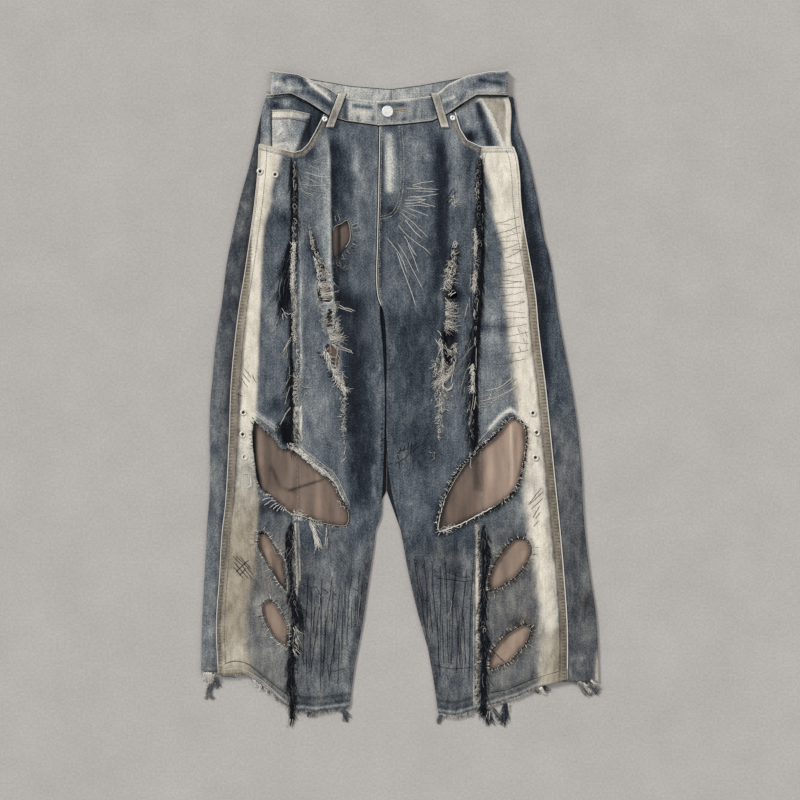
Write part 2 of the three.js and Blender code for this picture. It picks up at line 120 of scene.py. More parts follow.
def blot(x, y, cx, cy, rx, ry):
    """A bell in two directions about a centre."""
    return np.exp(-(((x - cx) / rx) ** 2) - ((y - cy) / ry) ** 2)


def inside(x, y, outline):
    """True where a point is in a closed outline: a ray from it crosses the edge an odd number of times."""
    p = np.array(outline, float)
    odd = np.zeros(np.shape(x), bool)
    for (x0, y0), (x1, y1) in zip(p, np.roll(p, -1, axis=0)):
        crosses = (y0 > y) != (y1 > y)
        slope = (x1 - x0) / ((y1 - y0) or 1e-9)
        odd ^= crosses & (x < x0 + (y - y0) * slope)
    return odd


def rounded(outline, spacing=2.0, ragged=0.0, bow=1.0):
    """A closed outline through its marks as a smooth curve (bow 1) down to straight sides (bow 0), with
    marks about spacing apart, moved in and out at random by ragged."""
    p = np.array(outline, float)
    q = np.vstack([p[-1:], p, p[:2]])
    pieces = []
    for a, b, c, d in zip(q[:-3], q[1:-2], q[2:-1], q[3:]):
        n = max(2, int(np.hypot(*(c - b)) / spacing))
        s = np.linspace(0, 1, n, endpoint=False)[:, None]
        curved = 0.5 * (2 * b + (c - a) * s + (2 * a - 5 * b + 4 * c - d) * s**2
                    + (3 * b - 3 * c + d - a) * s**3)
        pieces.append(bow * curved + (1 - bow) * (b + (c - b) * s))
    curve = np.vstack(pieces)
    return curve + RNG.normal(0, ragged, curve.shape) if ragged else curve


# %% [markdown]
# ## Outlines, in millimetres
# These are the pattern pieces' edges as they lie: x is across the garment and y runs up to the waist, as in
# the frame. Side and seam lines are marks [y, x] from the waist down.

# %% The outlines
SIDE_LEFT = [
    [525, -206], [485, -214], [448, -224], [408, -233], [370, -242], [323, -255], [264, -268], [218, -277],
    [160, -284], [96, -294], [32, -300], [-19, -304], [-141, -304], [-213, -309], [-272, -312], [-347, -316],
    [-432, -318],
]
SIDE_RIGHT = [
    [525, 173], [502, 178], [466, 184], [434, 189], [397, 202], [360, 211], [314, 221], [256, 231],
    [232, 238], [128, 254], [32, 272], [-46, 284], [-114, 290], [-192, 294], [-282, 304], [-342, 313],
    [-454, 318],
]
OUTSEAM_LEFT = [
    [485, -213], [467, -220], [435, -223], [400, -225], [365, -226.5], [320, -231], [283, -236], [182, -251],
    [160, -255], [32, -269], [-70, -273], [-172, -279], [-208, -283.5], [-283, -288], [-358, -293],
    [-439, -290],
]
OUTSEAM_RIGHT = [
    [485, 173], [472, 177.5], [405, 180], [397, 184], [360, 190], [323, 192], [288, 196], [160, 217],
    [128, 219.5], [69, 226], [32, 231], [-24, 237], [-125, 247], [-214, 256], [-286, 262], [-365, 267],
    [-447, 267],
]
RAW_SEAM_LEFT = [
    [395, -168.5], [366, -169], [320, -168], [256, -163], [112, -168], [74, -161], [18, -166], [-19, -172.5],
    [-189, -173], [-288, -166], [-400, -177], [-494, -172],
]
RAW_SEAM_RIGHT = [
    [404, 130], [366, 123.5], [328, 125], [306, 128], [269, 121], [158, 115], [106, 119], [-67, 119],
    [-187, 123.5], [-272, 127], [-400, 125], [-494, 122],
]
INSEAM_LEFT = [
    [438, -24], [386, -24.5], [289, -27], [253, -28.5], [170, -29], [143, -32], [91, -28], [0, -24],
    [-93, -26],
    [-160, -29],
    [-187, -31], [-208, -39], [-234, -42], [-288, -50], [-358, -60], [-422, -72], [-490, -81],
]
INSEAM_RIGHT = [
    [438, -32], [386, -33], [289, -35], [253, -36], [160, -34], [143, -27], [91, -22], [0, -21.6], [-74, -21],
    [-136, -15], [-208, 1], [-275, 13.5], [-342, 29], [-398, 45], [-450, 54], [-500, 61],
]
KNEE_LEFT = [
    [-232, -33], [-236, -56], [-233, -90], [-224, -138], [-189, -168], [-175, -180], [-157, -185],
    [-120, -197],
    [-91, -201], [-83, -195], [-83, -179], [-98, -152], [-109, -131], [-136, -110], [-158, -90], [-173, -78],
    [-189, -78], [-198, -64], [-206, -56], [-230, -35],
]
KNEE_RIGHT = [
    [173, -33], [184, -30], [199, -44], [201, -69], [193, -114], [179.5, -146], [157, -166], [123.5, -184],
    [99, -197], [67, -209], [61, -204], [65, -181], [78, -143], [96, -112], [123.5, -83], [157, -53],
]
LEAVES_LEFT = [
    [[-225, -211], [-226, -234], [-208, -267], [-182, -304], [-186, -258], [-214, -213]],
    [[-207, -318], [-220, -327], [-217, -345], [-210, -362], [-201, -378], [-184, -393], [-179, -392],
     [-179, -362],
     [-193, -334]],
]
LEAVES_RIGHT = [
    [[198, -221], [209, -237], [202, -259], [179, -286], [144, -304], [144, -282], [157, -253], [179, -226]],
    [[198, -358], [209, -365], [202, -387], [175, -417], [144, -430], [146, -403], [171, -374]],
]
HEART = [[-107, 271], [-94, 282], [-83, 286], [-79, 257], [-91, 238], [-104, 226]]
THIGH_TEARS = [
    [[-118, 112], [-107, 112], [-106, 141], [-115, 143]],
    [[-120, 82], [-109, 90], [-98, 88], [-98, 42]],
]
LADDER_HOLES = [
    [[-131, 188], [-110, 188], [-106, 160], [-128, 158]],
    [[76, 171], [84, 174], [91, 171], [90, 162], [80, 160]],
    [[70, 107], [85, 106], [84, 90], [76, 87], [71, 92]],
    [[72, 80], [83, 78], [82, 60], [74, 62]],
]
print("knee tears:", [len(k) for k in (KNEE_LEFT, KNEE_RIGHT)], "marks each")

# %% [markdown]
# ## How high the fronts lie
# Real jeans on a table are thickest at the pockets and where the backs fold round the sides, thin along the
# inseams, and crossed by long soft folds. One height function serves every piece, so that a stitch or a thread
# lies on the cloth wherever it is. Each fold is a bell across a line, wider on one side where the cloth leans.

# %% The height of the front cloth
FRONT_Z, SIDE_RISE, INSEAM_DROP, POCKET_RISE, HIP_RISE = 4.0, 2.8, 1.7, 3.8, 4.0
CROTCH_Y = 143
FOLDS = [  # marks [x, y] from the top down, height, width on the left, width on the right
    ([[-119, 428], [-111, 380], [-110, 300], [-109, 230], [-106, 190], [-104, 140], [-100, 90]], 7.0, 26, 4.5),
    ([[50, 440], [49, 400], [54, 330], [50, 250], [42, 160], [38, 60]], 5.0, 26, 9),
    ([[81, 450], [77, 400], [77, 330], [76, 250], [74, 170], [72, 90]], 6.0, 6, 28),
    ([[-92, 446], [-72, 380], [-50, 320]], 2.4, 7, 7),
    ([[-70, 440], [-62, 390], [-58, 330]], 1.8, 6, 6),
    ([[-150, 380], [-150, 180], [-148, 0]], 2.2, 12, 12),
    ([[-50, 40], [-46, -60], [-48, -190]], 3.0, 9, 9),
    ([[-76, 90], [-72, -40], [-70, -180]], -1.2, 12, 12),
    ([[-140, -215], [-128, -330], [-126, -480]], 3.4, 16, 14),
    ([[-98, -230], [-94, -360], [-98, -480]], 2.6, 11, 11),
    ([[-58, -198], [-82, -214], [-118, -226]], 2.2, 7, 7),
    ([[8, 110], [20, 0], [34, -150]], 2.6, 18, 18),
    ([[58, -235], [72, -340], [86, -490]], 3.2, 16, 18),
    ([[104, -220], [108, -360], [112, -480]], 2.4, 9, 9),
    ([[150, 385], [160, 200], [166, 0]], 2.4, 13, 13),
    ([[182, -168], [172, -195], [164, -222]], 2.0, 5, 5),
    ([[-240, 60], [-244, -60], [-250, -200]], 1.6, 9, 9),
    ([[232, -230], [236, -340], [238, -430]], 2.0, 10, 10),
    ([[-215, -215], [-236, -262], [-243, -330]], 1.8, 7, 7),
]


def front_height(x, y):
    """Height of the middle of the front cloth in millimetres: level, plus the rise over the folded sides
    and the pockets, less the drop to the backs along the inseams, plus every fold."""
    x, y = np.broadcast_arrays(np.asarray(x, float), np.asarray(y, float))
    from_side = np.where(x < -30, x - smooth_line(OUTSEAM_LEFT, y), smooth_line(OUTSEAM_RIGHT, y) - x)
    from_inseam = np.abs(np.where(x < -25, smooth_line(INSEAM_LEFT, y) - x, x - smooth_line(INSEAM_RIGHT, y)))
    z = FRONT_Z + SIDE_RISE * (1 - step(20, 60, from_side))
    z = z - INSEAM_DROP * (1 - step(4, 26, from_inseam)) * (1 - step(60, CROTCH_Y, y))
    z = z + POCKET_RISE * step(290, 350, y) * np.where(x < 0, 1 - step(-130, -85, x), step(55, 100, x))
    z = z + HIP_RISE * np.exp(-(((from_side - 16) / 14) ** 2)) * step(180, 260, y) * (1 - step(345, 390, y))
    for points, rise, left, right in FOLDS:
        z = z + rise * soft_line(x, y, points, left, right)
    return z


FLY_LIFT = 1.9


def overlap_height(x, y):
    """The right front's height: it stands clear of the left one where it laps over it at the fly."""
    return front_height(x, y) + FLY_LIFT * (1 - step(-24, -4, x)) * step(60, CROTCH_Y, y)


print("height over the left pocket:", round(float(front_height(-190, 380)), 1), "mm")

# %% [markdown]
# ## Camera, floor and light
# The garment lies flat and is seen from straight above, as on a copy stand. A long lens keeps its edges
# parallel. A wide soft lamp stands low on one side so that folds and raw edges throw short shadows.

# %% Camera, floor and lights
VIEW_WIDTH = 1.28
LENS, SENSOR = 85.0, 36.0
camera_data = bpy.data.cameras.new("camera")
camera_data.lens, camera_data.sensor_width = LENS, SENSOR
camera = bpy.data.objects.new("camera", camera_data)
bpy.context.collection.objects.link(camera)
camera.location = (0, 0, VIEW_WIDTH * LENS / SENSOR)
bpy.context.scene.camera = camera
bpy.context.scene.view_settings.view_transform = "Standard"


def far_lamp(name, place, spread, strength):
    """A wide lamp so far off that its light is even: it shines from place to the middle of the garment, and
    its spread in degrees is how wide it looks from there."""
    data = bpy.data.lights.new(name, "SUN")
    data.angle, data.energy = math.radians(spread), strength
    made = bpy.data.objects.new(name, data)
    bpy.context.collection.objects.link(made)
    made.location = place
    away = np.array(place) / np.linalg.norm(place)
    made.rotation_euler = (math.acos(away[2]), 0, math.atan2(away[1], away[0]) + math.pi / 2)
    return made


far_lamp("key", (-1.6, 1.5, 1.5), 16, 2.3)
far_lamp("fill", (1.9, 0.3, 2.2), 60, 0.7)
world = bpy.data.worlds.new("studio")
world.use_nodes = True
world.node_tree.nodes["Background"].inputs["Color"].default_value = (1, 1, 1, 1)
world.node_tree.nodes["Background"].inputs["Strength"].default_value = 0.42
bpy.context.scene.world = world
print("camera height:", round(camera.location.z, 2), "m")

# %% [markdown]
# ## Finishes
# Stone-washed denim is blue warp over white weft. Washing lifts the dye first where the cloth stands proud, so
# its colour runs from near black through slate to grey white, in long slubs along the warp and in clouds.
# Chlorine takes it to cream, and a tint turns that tan. The pieces carry how far each has gone as attributes
# (tone, cream, tan); tone also carries painted light and shade along folds, creases and edges. The material
# adds the clouds, slubs, grain and twill at their real sizes.

# %% Colours and the one node helper
def linear(code):
    """An sRGB hex colour as linear red, green, blue and alpha: each channel through the sRGB curve."""
    channels = [int(code[i:i + 2], 16) / 255 for i in (1, 3, 5)]
    return [c / 12.92 if c <= 0.04045 else ((c + 0.055) / 1.055) ** 2.4 for c in channels] + [1.0]


def node(tree, kind, inputs=None, **settings):
    """Adds a node, sets its properties, and gives each input named here a value or a link from a socket."""
    made = tree.nodes.new("ShaderNode" + kind)
    for key, value in settings.items():
        setattr(made, key, value)
    for key, value in (inputs or {}).items():
        if isinstance(value, bpy.types.NodeSocket):
            tree.links.new(value, made.inputs[key])
        else:
            made.inputs[key].default_value = value
    return made


def new_material(name):
    """An empty node material with its shader, and the tree to build it in."""
    made = bpy.data.materials.new(name)
    made.use_nodes = True
    return made, made.node_tree, made.node_tree.nodes["Principled BSDF"]


def ramp_stops(ramp, stops):
    """Sets a colour ramp to the stops (place, hex colour)."""
    elements = ramp.color_ramp.elements
    while len(elements) > 1:
        elements.remove(elements[-1])
    elements[0].position, elements[0].color = stops[0][0], linear(stops[0][1])
    for place, code in stops[1:]:
        elements.new(place).color = linear(code)


# %% Stone-washed denim
SLUB_MM, GRAIN_MM, MOTTLE_MM, CLOUD_MM = 2.0, 2.2, 13.0, 48.0
TWILL_MM = 2.6  # real twill lines are 0.8 mm apart: drawn as coarse as the render can show
ROPING_MM = 5.4  # puckers along a chain-stitched seam
PATCHY = 0.3  # how far clouds and mottles break up the edge of a bleached area


def washed_denim(name, layer="tone"):
    """Denim, cotton twill dyed on the warp, stone washed: matte, mottled, with raised slubs. Its tone is
    the piece's layer of that name."""
    made, tree, shader = new_material(name)
    place = node(tree, "TexCoord").outputs["Object"]
    along = node(tree, "Mapping", {"Vector": place, "Scale": (1, 0.07, 1)}).outputs[0]
    drawn_out = node(tree, "Mapping", {"Vector": place, "Scale": (1, 0.45, 1)}).outputs[0]
    cloud = node(tree, "TexNoise", {"Vector": place, "Scale": 1 / (CLOUD_MM * MM), "Detail": 5.0,
                                    "Roughness": 0.62}).outputs["Fac"]
    mottle = node(tree, "TexNoise", {"Vector": drawn_out, "Scale": 1 / (MOTTLE_MM * MM), "Detail": 3.0,
                                     "Distortion": 0.6}).outputs["Fac"]
    slub = node(tree, "TexNoise", {"Vector": along, "Scale": 1 / (SLUB_MM * MM), "Detail": 3.0}).outputs["Fac"]
    grain = node(tree, "TexNoise", {"Vector": place, "Scale": 1 / (GRAIN_MM * MM), "Detail": 2.0,
                                    "Roughness": 0.7}).outputs["Fac"]
    twill = node(tree, "TexWave", {"Vector": place, "Scale": 0.314 / (TWILL_MM * MM), "Distortion": 1.5,
                                   "Detail Scale": 2.0}, bands_direction="DIAGONAL").outputs["Fac"]
    tone = node(tree, "Attribute", attribute_name=layer).outputs["Fac"]
    for source, share in ((cloud, 0.3), (mottle, 0.4), (slub, 0.24), (grain, 0.78), (twill, 0.05)):
        centred = node(tree, "Math", {0: source, 1: 0.5}, operation="SUBTRACT").outputs[0]
        tone = node(tree, "Math", {0: centred, 1: share, 2: tone}, operation="MULTIPLY_ADD").outputs[0]
    ramp = node(tree, "ValToRGB", {"Fac": tone})
    ramp_stops(ramp, [(0.0, "#080b11"), (0.16, "#171e28"), (0.34, "#343d47"), (0.5, "#565d64"),
                      (0.66, "#777d81"), (0.82, "#a1a3a1"), (1.0, "#d4d1c8")])
    colour = ramp.outputs["Color"]
    patch = node(tree, "Math", {0: cloud, 1: mottle}, operation="ADD").outputs[0]
    for bleach, dark, light in (("tan", "#766b5c", "#a59b89"), ("cream", "#b7ad9b", "#ebe4d5")):
        amount = node(tree, "Attribute", attribute_name=bleach).outputs["Fac"]
        broken = node(tree, "Math", {0: patch, 1: PATCHY, 2: amount}, operation="MULTIPLY_ADD").outputs[0]
        mask = node(tree, "MapRange", {"Value": broken, "From Min": PATCHY, "From Max": 1 + PATCHY},
                    interpolation_type="SMOOTHSTEP").outputs[0]
        mixed = node(tree, "Math", {0: grain, 1: 0.4}, operation="MULTIPLY").outputs[0]
        mixed = node(tree, "Math", {0: slub, 1: 0.2, 2: mixed}, operation="MULTIPLY_ADD").outputs[0]
        mixed = node(tree, "Math", {0: mottle, 1: 0.4, 2: mixed}, operation="MULTIPLY_ADD").outputs[0]
        cloth = node(tree, "ValToRGB", {"Fac": mixed})
        ramp_stops(cloth, [(0.34, dark), (0.58, light)])
        colour = node(tree, "MixRGB", {"Fac": mask, "Color1": colour,
                                       "Color2": cloth.outputs["Color"]}).outputs[0]
    across = node(tree, "SeparateXYZ", {"Vector": place}).outputs["Y"]
    ticks = node(tree, "Math", {0: across, 1: math.tau / (ROPING_MM * MM)}, operation="MULTIPLY").outputs[0]
    ticks = node(tree, "Math", {0: grain, 1: 2.2, 2: ticks}, operation="MULTIPLY_ADD").outputs[0]
    ticks = node(tree, "Math", {0: ticks}, operation="SINE").outputs[0]
    ticks = node(tree, "MapRange", {"Value": ticks, "From Min": -0.1, "From Max": 0.7}).outputs[0]
    rope = node(tree, "Attribute", attribute_name="rope").outputs["Fac"]
    pucker = node(tree, "Math", {0: ticks, 1: rope}, operation="MULTIPLY").outputs[0]
    colour = node(tree, "MixRGB", {"Fac": pucker, "Color1": colour, "Color2": linear("#4d453b")}).outputs[0]
    tree.links.new(colour, shader.inputs["Base Color"])
    height = node(tree, "Math", {0: slub, 1: 0.8, 2: grain}, operation="MULTIPLY_ADD").outputs[0]
    height = node(tree, "Math", {0: twill, 1: 0.3, 2: height}, operation="MULTIPLY_ADD").outputs[0]
    height = node(tree, "Math", {0: pucker, 1: -1.4, 2: height}, operation="MULTIPLY_ADD").outputs[0]
    bump = node(tree, "Bump", {"Height": height, "Strength": 0.55, "Distance": 0.7 * MM})
    tree.links.new(bump.outputs[0], shader.inputs["Normal"])
    shader.inputs["Roughness"].default_value = 0.92
    shader.inputs["Specular IOR Level"].default_value = 0.25
    shader.inputs["Sheen Weight"].default_value = 0.08
    return made


DENIM = washed_denim("stone_washed_denim_twill")
# The inside face is painted near black as shade, for where it shows in the dark slit between the legs.
DENIM_INSIDE_SHADED = washed_denim("denim_inside_painted_shade", "inside")

# %% Taupe satin, woven, softly creased
def lining_satin(name):
    """Satin, polyester woven with long floats: smooth, a broad soft gloss, shallow creases down the cloth."""
    made, tree, shader = new_material(name)
    place = node(tree, "TexCoord").outputs["Object"]
    along = node(tree, "Mapping", {"Vector": place, "Scale": (1, 0.22, 1)}).outputs[0]
    crease = node(tree, "TexNoise", {"Vector": along, "Scale": 62.0, "Detail": 3.0}).outputs["Fac"]
    weave = node(tree, "TexNoise", {"Vector": place, "Scale": 620.0, "Detail": 2.0}).outputs["Fac"]
    tone = node(tree, "Attribute", attribute_name="tone").outputs["Fac"]
    for source, share in ((crease, 0.5), (weave, 0.2)):
        centred = node(tree, "Math", {0: source, 1: 0.5}, operation="SUBTRACT").outputs[0]
        tone = node(tree, "Math", {0: centred, 1: share, 2: tone}, operation="MULTIPLY_ADD").outputs[0]
    ramp = node(tree, "ValToRGB", {"Fac": tone})
    ramp_stops(ramp, [(0.0, "#0c0b0a"), (0.2, "#43362d"), (0.5, "#7c695c"), (0.75, "#a38c7b"),
                      (1.0, "#c8b29e")])
    tree.links.new(ramp.outputs["Color"], shader.inputs["Base Color"])
    bump = node(tree, "Bump", {"Height": crease, "Strength": 0.5, "Distance": 2.0 * MM})
    tree.links.new(bump.outputs[0], shader.inputs["Normal"])
    shader.inputs["Roughness"].default_value = 0.5
    shader.inputs["Sheen Weight"].default_value = 0.15
    return made


SATIN = lining_satin("taupe_satin_woven")

# %% Cotton thread
def cotton_thread(name, stops):
    """Cotton thread, spun and dyed or bleached: matte and hairy. Its tint attribute picks from the stops."""
    made, tree, shader = new_material(name)
    place = node(tree, "TexCoord").outputs["Object"]
    fibre = node(tree, "TexNoise", {"Vector": place, "Scale": 900.0, "Detail": 2.0}).outputs["Fac"]
    tint = node(tree, "Attribute", attribute_name="tint").outputs["Fac"]
    centred = node(tree, "Math", {0: fibre, 1: 0.5}, operation="SUBTRACT").outputs[0]
    tint = node(tree, "Math", {0: centred, 1: 0.22, 2: tint}, operation="MULTIPLY_ADD").outputs[0]
    ramp = node(tree, "ValToRGB", {"Fac": tint})
    ramp_stops(ramp, stops)
    tree.links.new(ramp.outputs["Color"], shader.inputs["Base Color"])
    shader.inputs["Roughness"].default_value = 0.9
    shader.inputs["Specular IOR Level"].default_value = 0.2
    return made


THREAD = cotton_thread("cotton_thread_spun", [
    (0.0, "#0b0d12"), (0.22, "#1f2530"), (0.4, "#4b535c"), (0.56, "#7d7c79"), (0.8, "#c6c0b4"),
    (1.0, "#efebe2")])
BUTTONHOLE_THREAD = cotton_thread("polyester_thread_tan", [(0.0, "#8d6a48"), (1.0, "#d8b48c")])

# %% Plated metal
def plated_metal(name, light, dark, metallic, roughness):
    """Pressed brass, nickel plated and tumbled: bright, with fine grime in the low places."""
    made, tree, shader = new_material(name)
    place = node(tree, "TexCoord").outputs["Object"]
    grime = node(tree, "TexNoise", {"Vector": place, "Scale": 420.0, "Detail": 4.0}).outputs["Fac"]
    ramp = node(tree, "ValToRGB", {"Fac": grime})
    ramp_stops(ramp, [(0.3, dark), (0.5, light)])
    tree.links.new(ramp.outputs["Color"], shader.inputs["Base Color"])
    bump = node(tree, "Bump", {"Height": grime, "Strength": 0.15, "Distance": 0.2 * MM})
    tree.links.new(bump.outputs[0], shader.inputs["Normal"])
    shader.inputs["Metallic"].default_value = metallic
    shader.inputs["Roughness"].default_value = roughness
    return made


BUTTON_METAL = plated_metal("nickel_plated_brass_pressed", "#f4f4f1", "#d4d4d0", 0.35, 0.38)
EYELET_METAL = plated_metal("rolled_steel_eyelet_plated", "#e3ded1", "#a9a292", 0.35, 0.45)
print("materials:", [m.name for m in bpy.data.materials])

# %% Concrete floor
floor_material, floor_tree, floor_shader = new_material("concrete_floor")
place = node(floor_tree, "TexCoord").outputs["Object"]
stain = node(floor_tree, "TexNoise",
             {"Vector": place, "Scale": 9.0, "Detail": 8.0, "Roughness": 0.7}).outputs["Fac"]
grit = node(floor_tree, "TexNoise",
            {"Vector": place, "Scale": 260.0, "Detail": 4.0, "Roughness": 0.8}).outputs["Fac"]
floor_tone = node(floor_tree, "Math", {0: stain, 1: 0.45, 2: grit}, operation="MULTIPLY_ADD").outputs[0]
floor_ramp = node(floor_tree, "ValToRGB", {"Fac": floor_tone})
ramp_stops(floor_ramp, [(0.42, "#8d8986"), (0.56, "#aba7a3"), (0.72, "#b3afab"), (0.95, "#c0bcb8")])
floor_tree.links.new(floor_ramp.outputs["Color"], floor_shader.inputs["Base Color"])
floor_shader.inputs["Roughness"].default_value = 0.95
floor_mesh = bpy.data.meshes.new("floor")
HALF_FLOOR = 4.0
floor_mesh.from_pydata([(-HALF_FLOOR, -HALF_FLOOR, 0), (HALF_FLOOR, -HALF_FLOOR, 0),
                        (HALF_FLOOR, HALF_FLOOR, 0), (-HALF_FLOOR, HALF_FLOOR, 0)], [], [(0, 1, 2, 3)])
floor_mesh.materials.append(floor_material)
floor = bpy.data.objects.new("floor", floor_mesh)
bpy.context.collection.objects.link(floor)

# %% [markdown]
# ## From arrays to pieces
# A cloth piece is a grid of points. Its wall comes from Solidify, half to each side of the grid, so that the
# grid
# is the middle of the cloth as in the frame. A torn opening is made by moving the grid points nearest its edge
# onto the edge, and leaving out the faces inside it. Threads are tubes of three sides along short paths.

# %% Meshes from arrays
def mesh_piece(name, points, faces, material, layers, nodes):
    """A smooth piece from points in millimetres and a list of faces, with float attributes, that rides on the
    garment and replaces these nodes."""
    mesh = bpy.data.meshes.new(name)
    mesh.from_pydata((points * MM).tolist(), [], faces)
    mesh.polygons.foreach_set("use_smooth", np.ones(len(mesh.polygons), bool))
    for key, values in layers.items():
        mesh.attributes.new(key, "FLOAT", "POINT").data.foreach_set("value", np.asarray(values, np.float32))
    mesh.materials.append(material)
    mesh.update()
    made = bpy.data.objects.new(name, mesh)
    bpy.context.collection.objects.link(made)
    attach(made, "root")
    if nodes:
        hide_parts(*nodes)
    return made


def grid_faces(rows, columns, flip=False):
    """The four-cornered faces of a grid, as numbers of its points."""
    i = np.arange(rows * columns).reshape(rows, columns)
    faces = np.stack([i[:-1, :-1], i[:-1, 1:], i[1:, 1:], i[1:, :-1]], -1).reshape(-1, 4)
    return faces[:, ::-1] if flip else faces


def cloth_piece(name, x, y, z, wall, material, layers, cut=None, flip=False, nodes=(),
                far_face_material=None):
    """A cloth piece through a grid of points, without the faces marked in cut, with its wall; its far face
    can have a material of its own. Returns the piece and its area in square metres."""
    points = np.stack([x, y, z], -1).reshape(-1, 3)
    faces = grid_faces(*x.shape, flip)
    if cut is not None:
        faces = faces[~cut.ravel()]
    used, faces = np.unique(faces, return_inverse=True)
    faces = faces.reshape(-1, 4)
    points = points[used]
    layers = {key: np.broadcast_to(values, x.shape).reshape(-1)[used] for key, values in layers.items()}
    made = mesh_piece(name, points, faces.tolist(), material, layers, nodes)
    solid = made.modifiers.new("wall", "SOLIDIFY")
    solid.thickness, solid.offset = wall * MM, 0
    if far_face_material:
        made.data.materials.append(far_face_material)
        solid.material_offset = 1
    a, b, c, d = (points[faces[:, k]] for k in range(4))
    area = 0.5 * np.linalg.norm(np.cross(c - a, d - b), axis=1).sum() * MM * MM
    return made, area


LEAST_SHARE = 0.301  # a cut piece fills at least this share of its rectangle


def declare(piece, area, width, length):
    """States the flat cut of a laid piece: the rectangle it was cut from in millimetres, and its own area."""
    whole = width * length * MM * MM
    area = min(max(area, LEAST_SHARE * whole), whole)
    print(f"{piece.name}: cut {width:.0f} x {length:.0f} mm, {area * 1e4:.0f} cm2")


def open_holes(x, y, outlines, cell):
    """Moves the grid points within a part of a cell of each outline onto it. Returns the points, the faces
    inside, and the distance of each point outside the nearest outline."""
    x, y = x.copy(), y.copy()
    away = np.full(x.shape, 1e3)
    holes = np.zeros((x.shape[0] - 1, x.shape[1] - 1), bool)
    for outline in outlines:
        low, high = outline.min(axis=0) - 16, outline.max(axis=0) + 16
        near = (x > low[0]) & (x < high[0]) & (y > low[1]) & (y < high[1])
        d, _, px, py = from_line(x[near], y[near], outline, closed=True)
        d = np.abs(d)
        snapped = d < 0.55 * cell
        x[near] = np.where(snapped, px, x[near])
        y[near] = np.where(snapped, py, y[near])
        away[near] = np.minimum(away[near], np.where(snapped, 0, d))
        centre_x = (x[:-1, :-1] + x[:-1, 1:] + x[1:, 1:] + x[1:, :-1]) / 4
        centre_y = (y[:-1, :-1] + y[:-1, 1:] + y[1:, 1:] + y[1:, :-1]) / 4
        holes |= inside(centre_x, centre_y, outline)
    return x, y, holes, away


def tubes(paths, radii, sides=3):
    """Thin closed tubes: paths is (threads, points, 3), radii (threads, points). At each point a ring of sides
    stands square to the path, and a point closes each end."""
    paths, radii = np.asarray(paths, float), np.asarray(radii, float)
    n, m, _ = paths.shape
    run = np.gradient(paths, axis=1)
    run /= np.linalg.norm(run, axis=2, keepdims=True) + 1e-9
    across = np.cross(run, [0.02, 0.03, 1.0])
    across /= np.linalg.norm(across, axis=2, keepdims=True) + 1e-9
    up = np.cross(across, run)
    turn = np.arange(sides) * math.tau / sides
    ring = (across[:, :, None] * np.cos(turn)[:, None] + up[:, :, None] * np.sin(turn)[:, None])
    points = (paths[:, :, None] + ring * radii[:, :, None, None]).reshape(n, m * sides, 3)
    points = np.concatenate([points, paths[:, :1], paths[:, -1:]], axis=1)
    i = np.arange(m * sides).reshape(m, sides)
    j = np.roll(i, -1, axis=1)
    quads = np.stack([i[:-1], j[:-1], j[1:], i[1:]], -1).reshape(-1, 4)
    caps = np.concatenate([np.stack([j[0], i[0], np.full(sides, m * sides)], -1),
                           np.stack([i[-1], j[-1], np.full(sides, m * sides + 1)], -1)])
    per = m * sides + 2
    start = (np.arange(n) * per)[:, None, None]
    return points.reshape(-1, 3), (quads + start).reshape(-1, 4), (caps + start).reshape(-1, 3), per


def thread_piece(name, groups, nodes=(), material=THREAD):
    """One piece of many threads. Each group is (paths, radii, tints)."""
    points, faces, tints, start = [], [], [], 0
    for paths, radii, tint in groups:
        p, quads, caps, per = tubes(paths, radii)
        points.append(p)
        faces += (quads + start).tolist() + (caps + start).tolist()
        tints.append(np.repeat(np.broadcast_to(tint, len(paths)), per))
        start += len(p)
    print(f"{name}: {sum(len(g[0]) for g in groups)} threads")
    return mesh_piece(name, np.concatenate(points), faces, material, {"tint": np.concatenate(tints)},
                      nodes)

# %% [markdown]
# ## The four fronts
# Each leg's front is an outer and an inner panel, sewn edge to edge with the raw seam allowance outwards.
# Each is a ruled surface between two seam lines. Its wash is painted in real places: hand-sanded streaks along
# the folds, which also serve as painted highlight on their crests, dark blue kept in the valleys and deepened
# there as painted shade, and a chlorine-bleached band down the outseam.

# %% How the wash is laid on
DENIM_WALL, SATIN_WALL, BAND_WALL, LOOP_WALL, GAP = 1.2, 1.0, 2.4, 1.4, 0.3
FRONT_CELL = 2.5
LIP, LIP_REACH = 2.4, 7.0  # torn edges curl up


def shaded(x, y, base, lines, blots=()):
    """A tone: the base plus soft lines (marks, amount, left, right, and a fade of 0.12 or their own) and blots
    (x, y, rx, ry, amount)."""
    tone = base + np.zeros(np.shape(x))
    for points, amount, left, right, *fade in lines:
        tone += amount * soft_line(x, y, points, left, right, *(fade or [0.12]))
    for cx, cy, rx, ry, amount in blots:
        tone += amount * blot(x, y, cx, cy, rx, ry)
    return tone


def layers_of(tone, cream=0, tan=0, rope=0):
    """A wash's layers, by the names that the material reads."""
    return {"tone": tone, "cream": cream, "tan": tan, "rope": rope}


